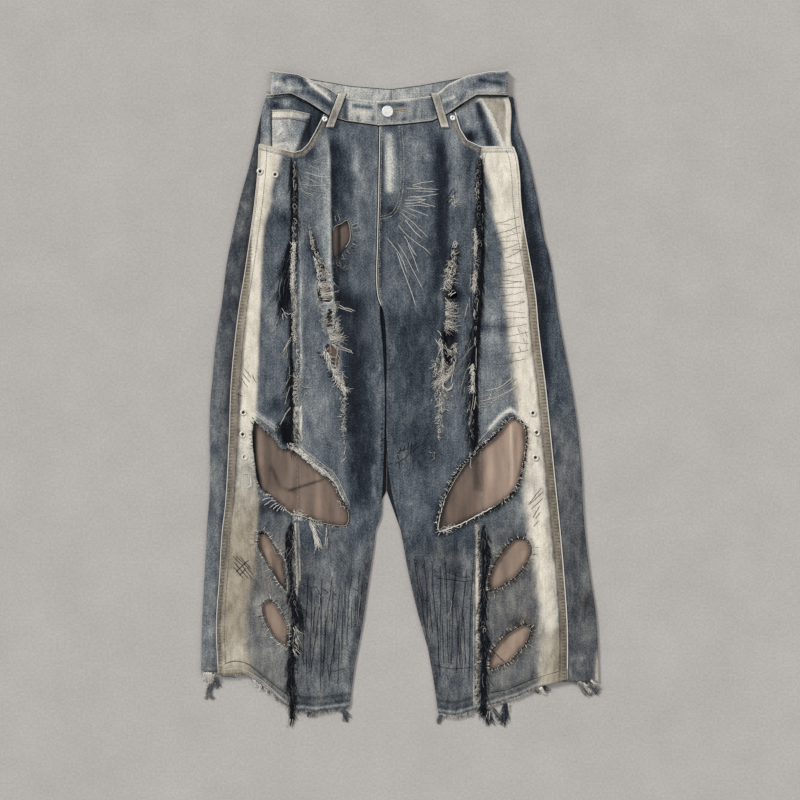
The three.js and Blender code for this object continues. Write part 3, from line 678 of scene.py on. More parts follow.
RIP_LEFT_LINE = [[-142, 272], [-137, 242], [-126, 218], [-124, 197], [-120, 181], [-116, 160]]
RIP_RIGHT_LINE = [[88, 250], [84, 222], [82, 200], [80, 176], [79, 130], [78, 100]]
FOLD_EDGE = [[-124, 436], [-116, 424], [-112, 396], [-110.5, 320], [-110, 220], [-107, 170], [-103, 120]]
# Tone lines on the left inner front. Along the folds they are sanded wear and also painted highlight on the
# crests and painted shade in the valleys, strongest at the sharp fold edge: pale to its left, dark to its
# right. The two pale lines by the knee opening are its frayed edge band.
WEAR_AND_SHADE_LEFT = [
    (FOLD_EDGE, 0.24, 19, 1.4), ([[x + 1.6, y] for x, y in FOLD_EDGE], -0.3, 1.2, 27),
    ([[-113, 430], [-112.5, 330], [-112, 200]], 0.14, 2.2, 0.8),
    ([[-92, 446], [-72, 390], [-50, 310]], 0.14, 7, 7), ([[-80, 440], [-62, 390], [-44, 370]], 0.06, 6, 6),
    ([[-72, 390], [-68, 320], [-62, 250]], 0.12, 9, 9), ([[-86, 440], [-80, 400], [-78, 340]], -0.1, 5, 5),
    ([[-76, 190], [-70, 60], [-62, -60], [-58, -190]], -0.33, 26, 24),
    ([[-92, 60], [-84, 0], [-80, -60]], -0.12, 6, 14),
    ([[-38, 40], [-36, -60], [-38, -190]], 0.08, 7, 6),
    ([[-43, -100], [-42, -130], [-41, -160]], 0.26, 4, 3),
    ([[-142, 80], [-136, 20], [-130, -70]], 0.1, 26, 22),
    ([[-92, -60], [-90, -110], [-86, -160]], 0.16, 8, 8),
    ([[-140, 260], [-141, 180], [-142, 100]], -0.07, 16, 10),
    ([[-120, -225], [-112, -300], [-110, -380]], 0.14, 18, 18),
    ([[-62, -220], [-72, -300], [-80, -400]], 0.14, 9, 9),
    ([[-78, -290], [-85, -380], [-90, -480]], 0.16, 9, 9),
    ([[-152, -215], [-152, -300], [-150, -420]], -0.1, 12, 12),
    ([[-46, -230], [-66, -350], [-84, -470]], -0.16, 6, 6),
    ([[-36, 410], [-37, 300], [-40, 180]], 0.1, 4, 4),
    ([[-234, -19], [-214, -33], [-193, -47]], 0.34, 5, 5),
    ([[-174, -70], [-137, -102], [-112, -122], [-98, -144], [-82, -174]], 0.4, 6, 6),
    ([[-154, 240], [-158, 100], [-162, -40]], 0.1, 5, 3),
]
POCKET_TRIM_LEFT = [[-222, 403], [-195, 396], [-168, 390], [-154, 393], [-141, 405], [-130, 427], [-117, 452]]
POCKET_TRIM_RIGHT = [[84, 452], [90, 434], [102, 411], [122, 399.5], [180, 399]]
SEAM_PALE_LEFT = [[-163, 380], [-162.5, 275], [-158.5, 200], [-157.6, 16]]


def wash_inner_left(x, y):
    """The left leg's inner front: slate, with fold crests pale from sanding and from painted highlight, and
    valleys dark with painted shade.
    """
    lines = WEAR_AND_SHADE_LEFT + [(RIP_LEFT_LINE, -0.36, 9, 7), (SEAM_PALE_LEFT, 0.22, 2.0, 2.0)]
    blots = [(-150, 395, 20, 14, -0.3), (-146, 160, 14, 60, 0.1), (-146, -84, 18, 22, 0.12),
             (-100, -430, 50, 50, 0.07), (-160, -35, 5, 30, 0.22), (-134, -250, 30, 14, -0.04)]
    cream = shaded(x, y, 0, [
        ([[-170.5, -10], [-170.5, -66]], 1, 1.6, 1.4, 0.02),
        ([[-158.5, -10], [-157.5, -66]], 1, 1.2, 1.2, 0.02),
        ([[-165, -10], [-164, -66]], 0.45, 4, 4, 0.02), ([[-162, -194], [-160, -290]], 0.5, 1.2, 1.2, 0.02),
        ([[-168, -194], [-165, -290], [-169, -400], [-170, -500]], 0.75, 1.6, 2.2, 0.01)])
    trim = soft_line(x, y, POCKET_TRIM_LEFT, 3.2, 3.2, 0.02)
    tan = np.maximum(0.4 * cream + 0.6 * trim, 0.18 * step(-160, -280, y))
    tone = shaded(x, y, 0.5, lines, blots) - 0.08 * trim - 0.07 * step(-120, -260, y)
    return layers_of(tone, cream, tan)


# Tone lines on the right inner front: sanded wear along the folds, and painted shade in the valleys, darkest in
# the valley left of the long fold at x 77.
WEAR_AND_SHADE_RIGHT = [
    ([[-18, 434], [-17, 380], [-16, 325]], 0.5, 8, 9), ([[-29, 434], [-30, 300], [-31, 170]], -0.2, 4, 4),
    ([[59, 448], [62, 400], [65, 330], [63, 250], [59, 170], [52, 90]], -0.16, 12, 9),
    ([[66, 436], [72, 400], [75, 350], [75, 290], [74, 240], [72, 180]], -0.24, 14, 2.5),
    ([[84, 448], [90, 380], [92, 300]], 0.2, 8, 13), ([[110, 300], [108, 200], [106, 100]], -0.02, 8, 8),
    ([[18, 434], [28, 340]], 0.12, 12, 12), ([[42, 440], [44, 380]], 0.08, 8, 5),
    ([[10, 160], [18, 0], [26, -130]], -0.2, 26, 34), ([[40, 300], [36, 200], [34, 100]], -0.02, 20, 14),
    ([[78, 60], [86, -20], [92, -80]], 0.1, 14, 16), ([[48, -240], [66, -320], [78, -440]], 0.1, 12, 12),
    ([[102, -220], [106, -320], [108, -480]], 0.1, 10, 10), ([[90, -230], [92, -330]], -0.1, 8, 8),
    ([[20, -260], [48, -400], [62, -490]], -0.12, 8, 8), ([[16, -60], [18, -150], [24, -220]], 0.06, 20, 14),
]


def wash_inner_right(x, y):
    """The right leg's inner front: darker in the middle of the thigh, paler at the fly and at the hem."""
    lines = WEAR_AND_SHADE_RIGHT + [(RIP_RIGHT_LINE, -0.34, 9, 8), ([[84, 250], [84, 60]], -0.2, 2, 3)]
    blots = [(-14, 300, 11, 9, -0.4), (110, 380, 10, 30, -0.16), (64, -246, 26, 20, -0.07),
             (60, -440, 70, 60, 0.08), (-8, 395, 10, 30, 0.05), (14, 0, 24, 24, 0.08),
             (60, -60, 40, 40, -0.05)]
    cream = shaded(x, y, 0, [([[124, -196], [124, -490]], 0.8, 3.5, 3.5, 0.01),
                             ([[117, -290], [118, -490]], 0.5, 0.9, 0.9, 0.02)])
    trim = soft_line(x, y, POCKET_TRIM_RIGHT, 3.2, 3.2, 0.02)
    tan = np.maximum(0.5 * cream + 0.6 * trim, 0.18 * step(-160, -280, y))
    tone = shaded(x, y, 0.47, lines, blots) - 0.08 * trim - 0.08 * step(-80, -240, y)
    return layers_of(tone, cream, tan)


BLEACH_LEFT = [  # where the bleached band ends, [y, x]
    [408, -186], [384, -192], [364, -196], [336, -205], [315, -207], [280, -216], [234, -220], [132, -224],
    [30, -228], [-16, -230], [-171, -225], [-234, -229], [-256, -228], [-288, -233], [-317, -240],
    [-350, -243],
    [-400, -241], [-432, -234],
]
BLEACH_RIGHT = [
    [404, 131], [358, 140], [330, 147], [290, 152], [275, 156], [240, 165], [193, 166], [152, 169], [112, 173],
    [70, 178], [30, 181], [-19, 188], [-131, 196], [-172, 199], [-213, 206], [-254, 212], [-323, 222],
    [-357, 226],
    [-390, 226], [-440, 222],
]
STRIP_LEFT = [  # how wide the brown strip by the outseam is, [y, width]
    [408, 0], [290, 0], [262, 3], [234, 6], [132, 15], [30, 17], [-100, 15], [-170, 12], [-300, 7], [-439, 5]]
STRIP_RIGHT = [[404, 0], [300, 0], [270, 4], [240, 10], [160, 13], [80, 15], [-60, 15], [-200, 15], [-280, 13],
               [-380, 12], [-447, 14]]


def wash_outer_left(x, y):
    """The left leg's outer front: blue next to the raw seam, a bleached band that goes tan lower down, and
    a brown puckered strip along the outseam."""
    edge, from_seam = smooth_line(BLEACH_LEFT, y), x - smooth_line(OUTSEAM_LEFT, y)
    strip = smooth_line(STRIP_LEFT, y)
    in_strip = (1 - step(-3.5, 3.5, from_seam - strip)) * step(1, 5, strip)
    soft = 5 + 5 * step(240, 320, y) + 11 * step(-180, -300, y)
    bleached = 1 - step(-1, 1, (x - edge) / soft)
    low = step(-60, -220, y)
    cream = bleached * (0.98 + 0.05 * step(160, 300, y) - 0.4 * step(20, -120, y) - 0.42 * low
                        + 0.06 * blot(x, y, -242, -160, 12, 60) + 0.3 * blot(x, y, -255, -405, 40, 24))
    tan = np.maximum(bleached * (0.1 + 0.85 * low), 0.34 * step(-120, -260, y))
    # The line along the raw seam darkens the cloth as painted shade under its fringe of threads.
    tone = shaded(x, y, 0.5, [(RAW_SEAM_LEFT, -0.3, 9, 9)], [
        (-188, 290, 14, 14, -0.26), (-190, 325, 12, 16, 0.2), (-196, -8, 14, 14, -0.16),
        (-184, -54, 9, 16, -0.45), (-206, 110, 12, 60, 0.06),
        (-190, 350, 10, 22, 0.1), (-200, -400, 40, 50, 0.14), (-204, -350, 16, 20, -0.06),
        (-211, -296, 12, 12, -0.1), (-206, 200, 8, 40, -0.06)])
    tone = tone + 0.32 * soft_line(x, y, [[-234, -19], [-214, -33], [-193, -47]], 5, 5, 0.05) - 0.04 * low
    tone = tone - 0.2 * in_strip * step(160, 60, y)
    rope = step(0.8, 2.4, from_seam) * (1 - step(5.5, 9, from_seam)) * step(2, 7, strip)
    trim = soft_line(x, y, POCKET_TRIM_LEFT, 3.2, 3.2, 0.02)
    cream, tan = cream * (1 - 0.5 * trim), np.maximum(tan, 0.9 * trim)
    worn = in_strip * (0.85 - 0.2 * step(160, 60, y))
    return layers_of(tone, cream * (1 - 0.95 * in_strip), np.maximum(tan * (1 - in_strip), worn), 0.62 * rope)


def wash_outer_right(x, y):
    """The right leg's outer front: blue by the raw seam, a bleached band, and the brown strip at the
    outseam."""
    edge, from_seam = smooth_line(BLEACH_RIGHT, y), smooth_line(OUTSEAM_RIGHT, y) - x
    strip = smooth_line(STRIP_RIGHT, y)
    in_strip = (1 - step(-3.5, 3.5, from_seam - strip)) * step(1, 6, strip)
    soft = 7 + 4 * step(240, 320, y) + 5 * step(230, 160, y) + 4 * step(-100, -300, y)
    bleached = step(-1, 1, (x - edge) / soft)
    cream = bleached * (0.92 + 0.14 * step(160, 300, y) - 0.25 * blot(x, y, 206, -130, 14, 30)
                        - 0.66 * step(-330, -400, y) * (1 - step(18, 36, from_seam - strip))
                        - 0.3 * (1 - step(4, 12, from_seam - strip)) * step(0, -60, y))
    tan = np.maximum(0.3 * bleached + 0.65 * bleached * step(-340, -400, y), 0.32 * step(-120, -260, y))
    # The line along the raw seam darkens the cloth as painted shade under its fringe of threads.
    tone = shaded(x, y, 0.52, [(RAW_SEAM_RIGHT, -0.26, 10, 10)], [
        (148, 112, 18, 40, 0.26), (146, 0, 22, 36, 0.12), (150, 230, 14, 40, -0.06), (196, -352, 26, 14, -0.2),
        (168, -436, 40, 26, 0.06), (160, -330, 20, 20, 0.02), (190, -190, 8, 30, 0.08)])
    tone = tone - 0.42 * in_strip * step(0, -100, y) - 0.06 * step(-120, -260, y)
    tone = tone + 0.5 * soft_line(x, y, [[140, -50], [160, -27], [176, -15], [204, -32]], 4, 4, 0.05)
    rope = step(0.8, 2.4, from_seam) * (1 - step(6.5, 10, from_seam)) * step(4, 9, strip)
    trim = soft_line(x, y, POCKET_TRIM_RIGHT, 2.6, 2.6, 0.02)
    cream, tan = cream * (1 - 0.35 * trim), np.maximum(tan, 0.9 * trim)
    worn = in_strip * (0.9 - 0.3 * step(0, -100, y))
    return layers_of(tone, cream * (1 - in_strip), np.maximum(tan * (1 - in_strip), worn), 0.62 * rope)


# %% The front panels, cut and torn
RAGGED = 0.35
HOLES = {
    "knee_left": rounded(KNEE_LEFT, 2.2, RAGGED),
    "knee_right": rounded(KNEE_RIGHT, 2.2, RAGGED),
    "leaf_upper_left": rounded(LEAVES_LEFT[0], 2.0, 0.3, 0.35),
    "leaf_lower_left": rounded(LEAVES_LEFT[1], 2.0, 0.3, 0.35),
    "leaf_upper_right": rounded(LEAVES_RIGHT[0], 2.0, 0.3, 0.9),
    "leaf_lower_right": rounded(LEAVES_RIGHT[1], 2.0, 0.3, 0.35),
    "heart": rounded(HEART, 2.0, 0.2),
    "thigh_slit": rounded(THIGH_TEARS[0], 2.0, 0.2),
    "thigh_tear": rounded(THIGH_TEARS[1], 2.0, RAGGED),
    **{f"ladder_{k}": rounded(outline, 1.5, RAGGED) for k, outline in enumerate(LADDER_HOLES, 1)},
}
HEM_TURN = 17.0  # the turned-up hem
HEM_TONES = [[HEM_TURN + 3, 2.5, -0.22], [5, 2.2, 0.3],
             [10, 2.5, -0.16]]  # lines along it: height, half width, tone
LIP_TONES = {"left": (0.2, 3.0), "right": (-0.34, 6.5)}  # a hole's edge: its tone, and how far that reaches


def front_panel(name, left, right, top, bottom, height, wash, holes):
    """A front: y runs from the bottom edge to the top edge with v, x from the left curve to the right one
    with u."""
    width = abs(smooth_line(right, 0) - smooth_line(left, 0))
    u = np.linspace(0, 1, int(width / FRONT_CELL) + 1)[None, :]
    v = np.linspace(0, 1, int(900 / FRONT_CELL) + 1)[:, None]
    y = np.interp(u, *np.array(bottom).T) * (1 - v) + np.interp(u, *np.array(top).T) * v
    x = smooth_line(left, y) * (1 - u) + smooth_line(right, y) * u
    x, y, cut, away = open_holes(x, y, [HOLES[h] for h in holes], FRONT_CELL)
    z = height(x, y) + LIP * np.exp(-((away / LIP_REACH) ** 2))
    above_hem = y - np.interp(u, *np.array(bottom).T)
    turned = 1 - step(HEM_TURN - 1.5, HEM_TURN + 1.5, above_hem)
    z = z + turned
    layers = wash(x, y)
    lip, reach = LIP_TONES["left" if "left" in name else "right"]
    tone = layers["tone"] + lip * np.exp(-((away / reach) ** 2)) - 0.02 * turned
    for height_mm, half_mm, amount in HEM_TONES:
        tone = tone + amount * np.exp(-(((above_hem - height_mm) / half_mm) ** 2))
    layers["tone"] = tone
    piece, area = cloth_piece(name, x, y, z, DENIM_WALL, DENIM, layers, cut,
                              nodes=(name,))
    print(f"{name}: {area * 1e4:.0f} cm2, {int(cut.sum())} cells torn out")
    return piece, area


def shifted(curve, by):
    """A seam line moved sideways."""
    return [[y, x + by] for y, x in curve]


FRONTS = {
    "front_outer_left": front_panel(
        "front_outer_left", OUTSEAM_LEFT, shifted(RAW_SEAM_LEFT, -GAP), [[0, 408], [0.52, 401], [1, 395]],
        [[0, -439], [0.36, -436], [0.57, -454], [1, -494]], front_height, wash_outer_left,
        ("knee_left", "leaf_upper_left", "leaf_lower_left")),
    "front_inner_left": front_panel(
        "front_inner_left", shifted(RAW_SEAM_LEFT, GAP), INSEAM_LEFT,
        [[0, 395], [0.08, 398], [0.17, 409], [0.25, 426], [0.34, 456], [0.42, 449], [0.6, 444.6], [1, 437.6]],
        [[0, -494], [0.43, -497], [1, -490]], front_height, wash_inner_left,
        ("knee_left", "heart", "thigh_slit", "thigh_tear", "ladder_1")),
    "front_inner_right": front_panel(
        "front_inner_right", INSEAM_RIGHT, shifted(RAW_SEAM_RIGHT, -GAP),
        [[0, 437.6], [0.26, 440.6], [0.52, 445.6], [0.68, 457], [0.745, 459], [0.79, 432], [0.86, 414.5],
         [1, 404]],
        [[0, -500], [0.45, -504], [1, -494]], overlap_height, wash_inner_right,
        ("knee_right", "ladder_2", "ladder_3", "ladder_4")),
    "front_outer_right": front_panel(
        "front_outer_right", shifted(RAW_SEAM_RIGHT, GAP), OUTSEAM_RIGHT, [[0, 404], [1, 404]],
        [[0, -494], [0.47, -473], [0.7, -457], [1, -447]], front_height, wash_outer_right,
        ("knee_right", "leaf_upper_right", "leaf_lower_right")),
}

# %% [markdown]
# ## The backs
# A back is cut wider than a front. On the table it lies under the fronts from the inseam out to the side,
# turns
# over in a tight fold, and runs in again to the outseam, where it shows as a narrow strip.

# %% Backs, folded over at the sides
BACK_SEAM = [[-214, 485], [-14, 458], [173, 485]]
BACK_CROTCH_Y = -146
FOLD_R, SIDE_LAP = 2.2, 8.0
STRIP_SWELL = 1.6


def back_panel(name, sign, side, inner, lap, hem, wash):
    """A back: with u it runs from the inseam to the side flat on the surface, half round the fold, and in
    to the lap under the front's edge; with v from the hem to the seat seam."""
    v = np.linspace(0, 1, 241)[:, None]
    top_side = np.interp(sign * 200, *np.array(BACK_SEAM).T) - 2 * GAP
    top_inner = np.interp(-14, *np.array(BACK_SEAM).T) - 2 * GAP
    side_y = hem[-1][1] * (1 - v) + top_side * v
    centre = smooth_line(side, side_y) - sign * (FOLD_R + DENIM_WALL / 2)
    flat = np.linspace(0, 1, 25)[None, :]
    flat_y = np.interp(flat, *np.array(hem).T) * (1 - v) + (top_inner * (1 - flat) + top_side * flat) * v
    flat_x = np.interp(flat_y, *np.array(sorted(inner)).T) * (1 - flat) + centre * flat
    turn = np.linspace(0, math.pi, 9)[None, 1:-1]
    arc_x = centre + sign * FOLD_R * np.sin(turn)
    arc_z = DENIM_WALL / 2 + FOLD_R * (1 - np.cos(turn))
    run = np.linspace(0, 1, 15)[None, :]
    end = smooth_line(lap, side_y) - sign * SIDE_LAP
    end = np.where(np.abs(end) < np.abs(centre), end, centre - sign * 6)
    strip_x = centre * (1 - run) + end * run
    swell = STRIP_SWELL * np.sin(math.pi * np.clip(run * 1.15, 0, 1)) * step(8, 30, np.abs(end - centre))
    x = np.hstack([flat_x, arc_x, strip_x])
    y = np.hstack([flat_y, side_y + 0 * turn, side_y + 0 * run])
    z = np.hstack([DENIM_WALL / 2 + 0 * flat_x, arc_z + 0 * v, DENIM_WALL / 2 + 2 * FOLD_R + swell])
    shows = np.hstack([0 * flat_x, 1 + 0 * arc_x, 1 + 0 * strip_x])
    layers = wash(x, y, shows)
    # The far face is painted near black as shade: it is seen only in the dark between the legs.
    layers["inside"] = 0.08 + 0 * shows
    piece, area = cloth_piece(name, x, y, z, DENIM_WALL, DENIM, layers, flip=sign > 0, nodes=(name,),
                              far_face_material=DENIM_INSIDE_SHADED)
    print(f"{name}: {area * 1e4:.0f} cm2")
    return piece, area


def seat_tone(x, y, middle):
    """The tone of the outside of a back, which lies on the table: worn pale at the seat, behind the knee
    and along the creases that fan out from it."""
    fan = [([[middle - 60, -90 - k], [middle, -120], [middle + 60, -90 + k]], 0.12, 5, 5) for k in (-50, -20,
                                                                                                    20, 50)]
    return shaded(x, y, 0.42, fan, [(0.5 * middle, 330, 70, 90, 0.26), (middle, -120, 60, 60, 0.12),
                                    (middle, -440, 90, 30, 0.14)])


def wash_back_left(x, y, shows):
    """Slate down the folded side, with painted shade darker next to the front's edge, paler towards the hem,
    and grey where it comes out under the front's hem.
    """
    from_front = smooth_line(OUTSEAM_LEFT, y) - x
    # Darker within 12 mm of the front's edge: painted shade where the front stands over the strip.
    tone = shaded(x, y, 0.36 - 0.14 * (1 - step(0, 12, from_front)) + 0.24 * step(160, -300, y), (), [
        (-296, 200, 20, 60, -0.06), (-292, 60, 9, 80, 0.1), (-296, 250, 12, 60, -0.06),
        (-250, 336, 12, 20, -0.07),
        (-302, -175, 8, 20, -0.1), (-300, -40, 8, 30, 0.1), (-306, -420, 12, 8, -0.16),
        (-300, -368, 14, 14, 0.14)])
    return layers_of(np.where(shows > 0, tone, seat_tone(x, y, -180)), 0.3 * step(-424, -436, y) * shows,
                     0.18 * shows)


def wash_back_right(x, y, shows):
    """The same on the other side, with painted shade darker beside the front's edge, and streaked cream at the
    hem.
    """
    from_front = x - smooth_line(OUTSEAM_RIGHT, y)
    # The band beside the front's edge, widest at the hip, is darkened as painted shade where the front stands
    # over it.
    wide = np.interp(y, [-40, 60, 150, 260, 420], [6, 14, 26, 26, 7])
    tone = 0.41 - 0.28 * (1 - step(0.4 * wide, wide, from_front)) * step(-40, 60, y) + 0.1 * step(300, 380, y)
    tone = shaded(x, y, tone, [([[286, -40], [292, -130]], 0.14, 4, 4, 0.2)], [
        (270, -70, 16, 60, 0.06), (280, -235, 18, 40, -0.1), (296, -330, 16, 16, -0.12),
        (294, -320, 12, 16, -0.16),
        (294, -280, 6, 8, 0.12), (292, -412, 12, 5, 0.14), (236, 250, 12, 60, -0.1)])
    cream = step(-370, -440, y) * (0.1 + 0.6 * step(40, 48, from_front))
    tan = np.maximum(0.6 * cream, 0.22 * step(60, -100, y)) * shows
    return layers_of(np.where(shows > 0, tone, seat_tone(x, y, 180)), cream * shows, tan)


def below_crotch(curve):
    """An inseam's marks below the back crotch."""
    return [[y, x] for y, x in curve if y < BACK_CROTCH_Y]


BACKS = {
    "back_left": back_panel("back_left", -1, SIDE_LEFT,
                            [[470, -14.6], [BACK_CROTCH_Y, -22]] + below_crotch(INSEAM_LEFT),
                            OUTSEAM_LEFT, [[0, -482], [0.4, -480], [0.6, -446], [0.75, -431], [1, -432]],
                            wash_back_left),
    "back_right": back_panel("back_right", 1, SIDE_RIGHT,
                             [[470, -13.4], [BACK_CROTCH_Y, -21]] + below_crotch(INSEAM_RIGHT),
                             OUTSEAM_RIGHT, [[0, -492], [0.25, -486], [0.6, -452], [0.75, -442], [1, -450]],
                             wash_back_right),
}

# %% [markdown]
# ## Pockets
# A curved pocket opening shows the facing behind it, and on the left a coin pocket sewn to the facing.

# %% Pocket facings and the coin pocket
FACING_DROP, COIN_DROP = 3.8, 1.7


def patch_panel(name, left, right, top, bottom, height, wash, cell=2.5, wall=DENIM_WALL):
    """A flat-cut patch between two side lines [y, x], from the bottom edge to the top edge [share, y]."""
    middle = (top[0][1] + bottom[0][1]) / 2
    width = abs(smooth_line(right, middle) - smooth_line(left, middle))
    u = np.linspace(0, 1, int(width / cell) + 1)[None, :]
    v = np.linspace(0, 1, int((top[0][1] - bottom[0][1]) / cell) + 1)[:, None]
    y = np.interp(u, *np.array(bottom).T) * (1 - v) + np.interp(u, *np.array(top).T) * v
    x = smooth_line(left, y) * (1 - u) + smooth_line(right, y) * u
    piece, area = cloth_piece(name, x, y, height(x, y), wall, DENIM, wash(x, y), nodes=(name,))
    print(f"{name}: {area * 1e4:.0f} cm2")
    return piece, area


def below_front(drop):
    """The height of a layer this far under the front."""
    return lambda x, y: front_height(x, y) - drop


def wash_facing_left(x, y):
    """Navy by the pocket's edge, mottled grey at the side, with pale patches under the band."""
    tone = shaded(x, y, 0.4, (), [(-214, 440, 10, 60, 0.26), (-184, 474, 12, 8, 0.34),
                                  (-132, 440, 12, 26, -0.26),
                                  (-158, 478, 8, 8, -0.2), (-198, 470, 9, 5, -0.3)])
    return layers_of(tone, 0.4 * blot(x, y, -216, 408, 10, 14))


def wash_coin_pocket(x, y):
    """Worn almost white over its left half and its top hem, blue-grey above, navy in the corner at the
    right."""
    top, past = step(446, 452, y), x - np.interp(y, [398, 440], [-167, -150])
    corner = 0.2 * step(-30, -8, past) * step(402, 420, y) + 0.62 * step(-4, 5, past)
    tone = 0.88 - 0.05 * top - (1 - top) * corner
    tone = shaded(x, y, tone - 0.1 * top * step(-172, -150, x), [
        ([[-198, 420], [-186, 436]], 0.2, 2, 2, 0.2),
        ([[-202, 405], [-183, 411], [-174, 403]], 0.2, 2, 2, 0.2)],
        [(-190, 412, 16, 2.5, -0.2)])
    cream = 0.75 * top * (0.45 + 0.55 * step(-150, -190, x)) + 0.45 * blot(x, y, -196, 404, 20, 18)
    return layers_of(tone, cream, 0.3 * cream)


def wash_facing_right(x, y):
    """Pale slate, a black hump at the edge, a fold drawn in tone as a dark valley of painted shade and a pale
    ridge of painted highlight, then bleached tan and a cream strip."""
    # The ridge and the valley beside it are a fold drawn only in tone: painted highlight and painted shade. The
    # ridge's cream is the same painted highlight.
    ridge = soft_line(x, y, [[126, 486], [144, 458], [155, 432], [167, 402]], 6, 2.5, 0.04)
    tone = shaded(x, y, 0.68 + 0.4 * ridge, [([[124, 478], [133, 445], [146, 403]], -0.48, 7, 7, 0.04)],
                  [(110, 420, 13, 11, -0.75), (98, 442, 8, 10, -0.1)])
    right = 0.8 * step(-1, 3, x - np.interp(y, [402, 432, 458, 486], [168, 157, 146, 129]))
    strip = step(-12, -9, x - smooth_line(OUTSEAM_RIGHT, y))
    cream = right * (0.34 + 0.6 * strip) + 0.45 * ridge * (1 - right)
    return layers_of(tone, cream, right * (0.9 - 0.6 * strip))


POCKETS = {
    "pocket_facing_left": patch_panel(
        "pocket_facing_left", shifted(OUTSEAM_LEFT, 1), [[480, -112], [370, -118]],
        [[0, 482], [0.2, 482], [0.4, 487], [0.66, 474], [1, 451]], [[0, 382], [1, 382]],
        below_front(FACING_DROP), wash_facing_left),
    "pocket_facing_right": patch_panel(
        "pocket_facing_right", [[480, 82], [370, 80]], shifted(OUTSEAM_RIGHT, -1),
        [[0, 459], [0.18, 470], [0.43, 484], [0.7, 483], [1, 483]], [[0, 384], [1, 384]],
        below_front(FACING_DROP), wash_facing_right),
    "coin_pocket": patch_panel(
        "coin_pocket", [[470, -205], [380, -205]], [[470, -143], [380, -146]],
        [[0, 462], [0.5, 463], [1, 456]], [[0, 390], [1, 390]], below_front(COIN_DROP), wash_coin_pocket),
}

# %% [markdown]
# ## Lining patches
# Satin patches lie loose behind the holes. Their creases hang from the sewn upper edge.

# %% Linings
LINING_Z = 2.2
# Tone lines on the linings paint the light and shade of their creases. On the left knee the darkest line, at x
# -235, is painted shadow under the opening's edge; on the thigh the pale line at x -105 is painted light
# against the shade of the fold above.
LINING_CREASE_SHADING = {  # marks [x, y], tone, width
    "lining_knee_left": [([[-182, -146], [-150, -136], [-118, -126]], -0.34, 2.0),
                         ([[-178, -50], [-172, -175]], 0.12, 4),
                         ([[-133, -80], [-130, -200]], 0.16, 5), ([[-214, -40], [-205, -150]], -0.1, 10),
                         ([[-210, -100], [-190, -140], [-160, -150]], -0.16, 3),
                         ([[-226, -50], [-222, -110]], 0.12, 5),
                         ([[-235, -28], [-234, -90], [-227, -138]], -0.55, 3),
                         ([[-160, -60], [-150, -130]], -0.08, 9)],
    "lining_knee_right": [([[177, -30], [179, -100], [178, -150]], 0.3, 2.2),
                          ([[183, -34], [186, -120]], -0.1, 4),
                          ([[150, -60], [136, -190]], 0.2, 8),
                          ([[196, -40], [202, -80], [190, -130]], -0.3, 4),
                          ([[120, -90], [124, -150]], -0.16, 8), ([[100, -110], [96, -200]], 0.06, 6)],
    "lining_thigh_left": [([[-97.6, 284], [-97.6, 225]], -0.5, 2.2), ([[-105, 284], [-105, 225]], 0.3, 6)],
    "lining_shin_left": [([[-208, -240], [-196, -290]], -0.12, 2.5), ([[-214, -235], [-206, -270]], 0.14, 3)],
    "lining_shin_right": [([[162, -250], [168, -300]], -0.1, 8), ([[200, -240], [196, -262]], 0.1, 5)],
}


def lining_patch(name, low_x, low_y, high_x, high_y):
    """A flat patch of satin with shallow creases; painted shade makes it darker close to the edges of the
    openings above it.
    """
    cell = 3.0
    x, y = np.meshgrid(np.linspace(low_x, high_x, int((high_x - low_x) / cell) + 1),
                       np.linspace(low_y, high_y, int((high_y - low_y) / cell) + 1))
    tone, z = 0.47 + 0.3 * step(120, 190, x) * (y > -220) - 0.05 * (x < -60) * (y > -220), np.full(x.shape,
                                                                                                   LINING_Z)
    tone = tone + 0.1 * step(-300, -360, y) - 0.16 * (1 - step(90, 150, x)) * (x > 60) * (y > -220)
    tone = tone + 0.14 * (x > 60) * (y < -220) + 0.07 * (x < 0) * (y < -220) - 0.08 * (y > 0)
    for points, amount, width in LINING_CREASE_SHADING.get(name, []):
        mark = soft_line(x, y, points, width, width, 0.15)
        tone, z = tone + amount * mark, z + 0.25 * np.sign(amount) * mark
    # Painted shade where the torn cloth above overhangs the satin.
    for outline in HOLES.values():
        if outline[:, 0].min() < high_x and outline[:, 0].max() > low_x:
            d, _, _, _ = from_line(x, y, outline[::3], closed=True)
            tone = tone - 0.22 * np.exp(-((d / 5.0) ** 2))
    piece, area = cloth_piece(name, x, y, z, SATIN_WALL, SATIN, {"tone": tone},
                              nodes=(name,))
    return piece, area, high_x - low_x, high_y - low_y


LININGS = [lining_patch(*patch) for patch in (
    ("lining_thigh_left", -140, 25, -66, 300), ("lining_knee_left", -250, -212, -66, -18),
    ("lining_shin_left", -240, -405, -110, -214), ("lining_knee_right", 45, -220, 216, -16),
    ("lining_shin_right", 80, -440, 226, -222))]
print("linings:", [f"{p.name} {area * 1e4:.0f} cm2" for p, area, _, _ in LININGS])

# %% [markdown]
# ## Waistband and belt loops
# The band is one straight folded strip. It runs along the centre back on the table, turns forward at each
# side,
# and comes in to the button over the fronts' raw tops. The inside of its back shows above its front.

